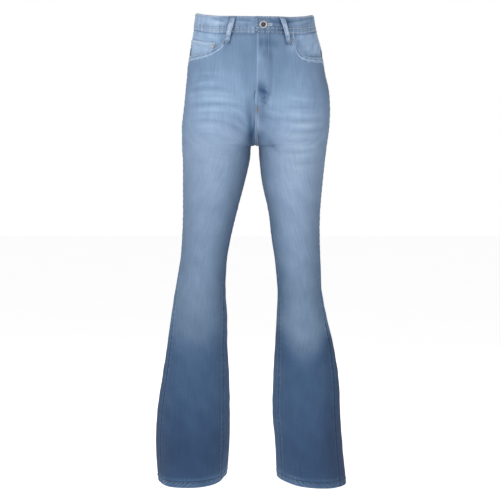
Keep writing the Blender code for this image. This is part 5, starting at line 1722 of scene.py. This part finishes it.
def sew_half(side, pale, dull):
    """One half's stitches: front pocket, lower edge, inner and side seams, yoke and back pocket."""
    scoop = row_for(side, SCOOPS, SCOOP_COLUMNS)
    across, deep = scoop_columns(side, 120)
    for inset in SCOOP_INSETS:
        level = BAND_SEAM - GAP - np.maximum(deep * scoop["depth"], 0.0) - inset * deep
        along = to_side(side, level) - (across * scoop["width"] + inset * across**2)
        lift = fly_lift(level, along) if side == "left" else 0.0 * along
        pale.on(side, level[2:], along[2:], (lift + THREAD_OUT)[2:], width=THREAD_FINE)
    run = np.arange(0.004, round_at(side, HEM) - 0.002, 0.004)
    dull.on(side, HEM + HEM_DEPTH - 0.0014, run, THREAD_LOW)
    seam = np.arange(CROTCH - 0.012, HEM + HEM_DEPTH, -0.004)
    for inset in LEG_INSETS:
        dull.on(side, seam, inseam(seam) + inset, THREAD_OUT, width=THREAD_FINE)
    hip = np.arange(BAND_SEAM - 0.003, -0.161, -0.004)
    pale.on(side, hip, to_side(side, hip) + LEG_INSETS[0], THREAD_OUT)
    u = np.linspace(0.0, 1.0, 60)
    level = yoke_level(YOKE_AT_SIDE, YOKE_AT_BACK, u)
    start = to_side(side, level)
    along = start + (all_round(side, level) - start) * u
    for inset in EDGE_INSETS:
        pale.on(side, level + inset, along, THREAD_HIGH)
    on_pocket = GAP + FACET + WALL
    edge_u = np.concatenate([np.full(50, -1.0), np.linspace(-1, 1, 90), np.full(50, 1.0)])
    edge_v = np.concatenate([np.linspace(0.02, 1, 50), np.ones(90), np.linspace(1, 0.02, 50)])
    for inset in EDGE_INSETS:
        shrink = 1 - inset / (PATCH_WIDTH / 2)
        level, along = pocket_place(side, edge_u * shrink, edge_v * (1 - inset / PATCH_HEIGHT))
        pale.on(side, level, along, on_pocket + THREAD_OUT)
    for down in (0.12, 0.17):
        level, along = pocket_place(side, np.linspace(-0.97, 0.97, 50), np.full(50, down))
        pale.on(side, level, along, on_pocket + THREAD_LOW)


def sew_fly(pale, tan, blue):
    """The fly's curved rows, its folded edge, the middle seams, and the fly's bar tacks."""
    turn = np.sin(np.linspace(0, math.pi / 2, 40))[1:]
    for inset in (0.0, FLY_ROWS_APART):
        straight = np.linspace(BAND_SEAM - 0.002, FLY_ROW_TURNS, 60)
        level = np.concatenate([straight, FLY_ROW_TURNS + (FLY_ROW_ENDS + inset - FLY_ROW_TURNS) * turn])
        along = fly_row_at(level, inset)
        blue.on("left", level, along, fly_lift(level, along) + THREAD_SUNK)
    level = np.arange(BAND_SEAM - 0.002, FLY_ENDS - 0.004, -0.003)
    start, _ = front_ends("left", level)
    pale.on("left", level, start + 0.0022, fly_lift(level, start) + THREAD_LOW, width=0.0008)
    level = CROTCH + np.linspace(above(FLY_ENDS - 0.002), above(CROTCH + 0.0004), 60) ** 2
    start, _ = front_ends("left", level)
    for inset in CROTCH_INSETS:
        lift = fly_lift(level, start + inset) + THREAD_OUT
        brown = level > TAN_ENDS
        tan.on("left", level[brown], (start + inset)[brown], lift[brown])
        pale.on("left", level[~brown], (start + inset)[~brown], lift[~brown], width=THREAD_FINE)
    level = CROTCH + np.linspace(above(YOKE_AT_BACK), above(CROTCH + 0.0004), 110) ** 2
    for inset in CROTCH_INSETS:
        pale.on("left", level, all_round("left", level) - inset, THREAD_OUT)
    tan.bar_tack("left", -0.183, 0.003, 0.0022, 0.013, 0.003)
    blue.bar_tack("left", -0.141, 0.026, 0.0034, 0.008, 0.0026, -0.6)


def sew_band(pale):
    """The waistband's rows, the row down its end, and the buttonhole, open beside the button."""
    height = BAND_TOP - BAND_SEAM
    for share in (BAND_INSET / height, BAND_SECOND_ROW / height, 1 - BAND_INSET / height):
        level = BAND_SEAM + height * share
        pale.on("right", level, np.linspace(0.0, round_at("right", level), 120), BAND_PROUD - THREAD_FLAT)
        run = np.linspace(round_at("left", level), BAND_EDGE + 0.003, 120)
        pale.on("left", level, run, BAND_PROUD - THREAD_FLAT + band_lift(run))
    level = np.linspace(BAND_SEAM + 0.003, BAND_TOP - 0.003, 20)
    along = BAND_EDGE + 0.0024 + 0 * level
    pale.on("left", level, along, BAND_PROUD + band_lift(along))
    sizes = {"pitch": ONE_STITCH, "length": 0.0021, "width": 0.0008, "height": 0.0008}
    for aside in (-0.0016, 0.0016):
        for place in np.linspace(0.013, 0.0355, 34):
            levels = np.array([aside * 0.35, aside * 1.65])
            lengths = np.array([place, place])
            pale.on("left", levels, lengths, BAND_PROUD + band_lift(lengths) + THREAD_SUNK, **sizes)
    pale.bar_tack("left", 0.0, 0.0365, BAND_PROUD + BAND_LIFT + THREAD_LOW, 0.0052, 0.0016)


def sew_loops(blue):
    """A row along each edge of a belt loop, and a bar tack at both ends."""
    v = np.linspace(0.05, 0.95, 40)
    tack = np.array([-LOOP_TACK, LOOP_TACK])
    sizes = {"pitch": ONE_STITCH, "length": 2 * LOOP_TACK, "width": THREAD_FINE}
    for loop in rows_of(LOOPS, LOOP_COLUMNS):
        for aside in (-LOOP_INSET, LOOP_INSET):
            level, along, out = loop_place(loop, v, aside + 0 * v)
            blue.on(loop["side"], level, along, out + WALL + THREAD_FLAT)
        for end in (0.045, 0.955):
            for k in range(-2, 3):
                level, along, out = loop_place(loop, np.full(2, end + k * 0.011), tack)
                blue.on(loop["side"], level, along, out + WALL + THREAD_OUT, **sizes)


def sew_coin_pocket(pale):
    """Two rows under the coin pocket's turned top, and one down each side."""
    on_pocket = GAP + THIN_WALL
    for down in (0.055, 0.20):
        level, along, out = coin_pocket_place(np.linspace(0.02, 0.98, 30), np.full(30, down))
        pale.on("right", level, along, out + on_pocket + THREAD_HIGH)
    for aside in (0.035, 0.965):
        level, along, out = coin_pocket_place(np.full(30, aside), np.linspace(0.02, 0.98, 30))
        pale.on("right", level, along, out + on_pocket + THREAD_LOW)


def sew():
    """Every visible row of stitches, one piece for each thread."""
    pale = Sewing("stitches_pale", THREAD_PALE, "denim_trim")
    tan = Sewing("stitches_tan", THREAD_TAN, "denim_trim")
    blue = Sewing("stitches_blue", THREAD_BLUE, "denim_panel")
    dull = Sewing("stitches_dull", THREAD_DULL, "denim_panel")
    for side in ("right", "left"):
        sew_half(side, pale, dull)
    sew_fly(pale, tan, blue)
    sew_band(pale)
    sew_loops(blue)
    sew_coin_pocket(pale)
    for rows in (pale, tan, blue, dull):
        rows.finish_mesh()


def stage():
    """A pale floor, a soft light from the upper left, weaker ones right and behind, and the camera."""
    floor = bpy.data.meshes.new("floor")
    corners = [(a * FLOOR_REACH, b * FLOOR_REACH, FLOOR) for a, b in ((-1, -1), (1, -1), (1, 1), (-1, 1))]
    floor.from_pydata(corners, [], [(0, 1, 2, 3)])
    n = Nodes("floor_paint", 0.95)
    place = n.add("ShaderNodeTexCoord").outputs["Object"]
    n.link(n.ramp(n.noise(place, 3.0), [(0.3, (0.93, 0.93, 0.935)), (0.7, (0.95, 0.95, 0.95))]), "Base Color")
    n.shader.inputs["Emission Color"].default_value = WHITE
    n.shader.inputs["Emission Strength"].default_value = FLOOR_GLOW
    floor.materials.append(n.material)
    made = bpy.data.objects.new("floor", floor)
    bpy.context.scene.collection.objects.link(made)
    world = bpy.data.worlds.new("studio")
    bpy.context.scene.world = world
    world.use_nodes = True
    tree = world.node_tree
    tree.nodes["Background"].inputs["Color"].default_value = WHITE
    tree.nodes["Background"].inputs["Strength"].default_value = WORLD_LIGHT
    seen = tree.nodes.new("ShaderNodeBackground")
    seen.inputs["Color"].default_value = WHITE
    seen.inputs["Strength"].default_value = 1.0
    path = tree.nodes.new("ShaderNodeLightPath")
    mix = tree.nodes.new("ShaderNodeMixShader")
    tree.links.new(path.outputs["Is Camera Ray"], mix.inputs["Fac"])
    tree.links.new(tree.nodes["Background"].outputs[0], mix.inputs[1])
    tree.links.new(seen.outputs[0], mix.inputs[2])
    tree.links.new(mix.outputs[0], tree.nodes["World Output"].inputs["Surface"])
    for row in rows_of(LIGHTS, LIGHT_COLUMNS):
        light = bpy.data.lights.new(row["name"], "AREA")
        light.energy = row["power"]
        light.size = row["size"]
        lamp = bpy.data.objects.new(row["name"], light)
        lamp.location = (row["x"], row["y"], row["z"])
        aim = Vector(AIM) - lamp.location
        lamp.rotation_euler = aim.to_track_quat("-Z", "Y").to_euler()
        bpy.context.scene.collection.objects.link(lamp)
    view = bpy.data.cameras.new("camera")
    view.lens = LENS
    view.sensor_width = FILM_WIDTH
    camera = bpy.data.objects.new("camera", view)
    camera.location = CAMERA
    camera.rotation_euler = (Vector(AIM) - Vector(CAMERA)).to_track_quat("-Z", "Y").to_euler()
    bpy.context.scene.collection.objects.link(camera)
    bpy.context.scene.camera = camera
    bpy.context.scene.view_settings.view_transform = "Standard"


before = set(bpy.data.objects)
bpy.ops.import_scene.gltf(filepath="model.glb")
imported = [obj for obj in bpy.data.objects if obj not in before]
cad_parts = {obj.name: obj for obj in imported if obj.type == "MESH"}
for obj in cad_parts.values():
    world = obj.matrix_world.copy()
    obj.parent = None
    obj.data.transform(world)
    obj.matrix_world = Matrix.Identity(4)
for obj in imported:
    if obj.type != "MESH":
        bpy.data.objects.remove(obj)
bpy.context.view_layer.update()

DENIM = [denim("denim"), denim("denim_reverse", reverse=True)]
TAPE = [denim("tape_cloth")]
THREAD_PALE = thread("thread_pale", (214, 221, 230))
THREAD_BLUE = thread("thread_blue", (140, 160, 188))
THREAD_DULL = thread("thread_dull", (108, 130, 152))
THREAD_TAN = thread("thread_tan", (166, 160, 150))
PEWTER = metal("pewter", (104, 108, 112), (226, 229, 232), 0.40)
DARK_PEWTER = metal("pewter_hollow", (40, 42, 46), (112, 112, 112), 0.45)
RIVET = metal("rivet_metal", (120, 122, 124), (214, 214, 212), 0.34)
BRASS = metal("zip_metal_worn", (96, 88, 72), (186, 174, 146), 0.40)

for half in ("right", "left"):
    front(half)
    back(half)
    yoke_piece(half)
    facing_piece(half)
    pocket_piece(half)
coin_pocket_piece()
waistband_piece()
for belt_loop in rows_of(LOOPS, LOOP_COLUMNS):
    loop_piece(belt_loop)
strip_piece("fly_facing", FLY_LIFT - WALL - 2 * GAP, THIN_WALL, DENIM, 0.70)
strip_piece("zip_tape", -WALL - CHAIN_WALL - GAP, TAPE_WALL, TAPE, 0.0)
strip_piece("fly_shield", -WALL - CHAIN_WALL - TAPE_WALL - 2 * GAP, THIN_WALL, DENIM, 0.72)
zip_teeth()
metal_pieces()
sew()
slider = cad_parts["zip_slider"]
slider.data.materials.clear()
slider.data.materials.append(BRASS)
stage()
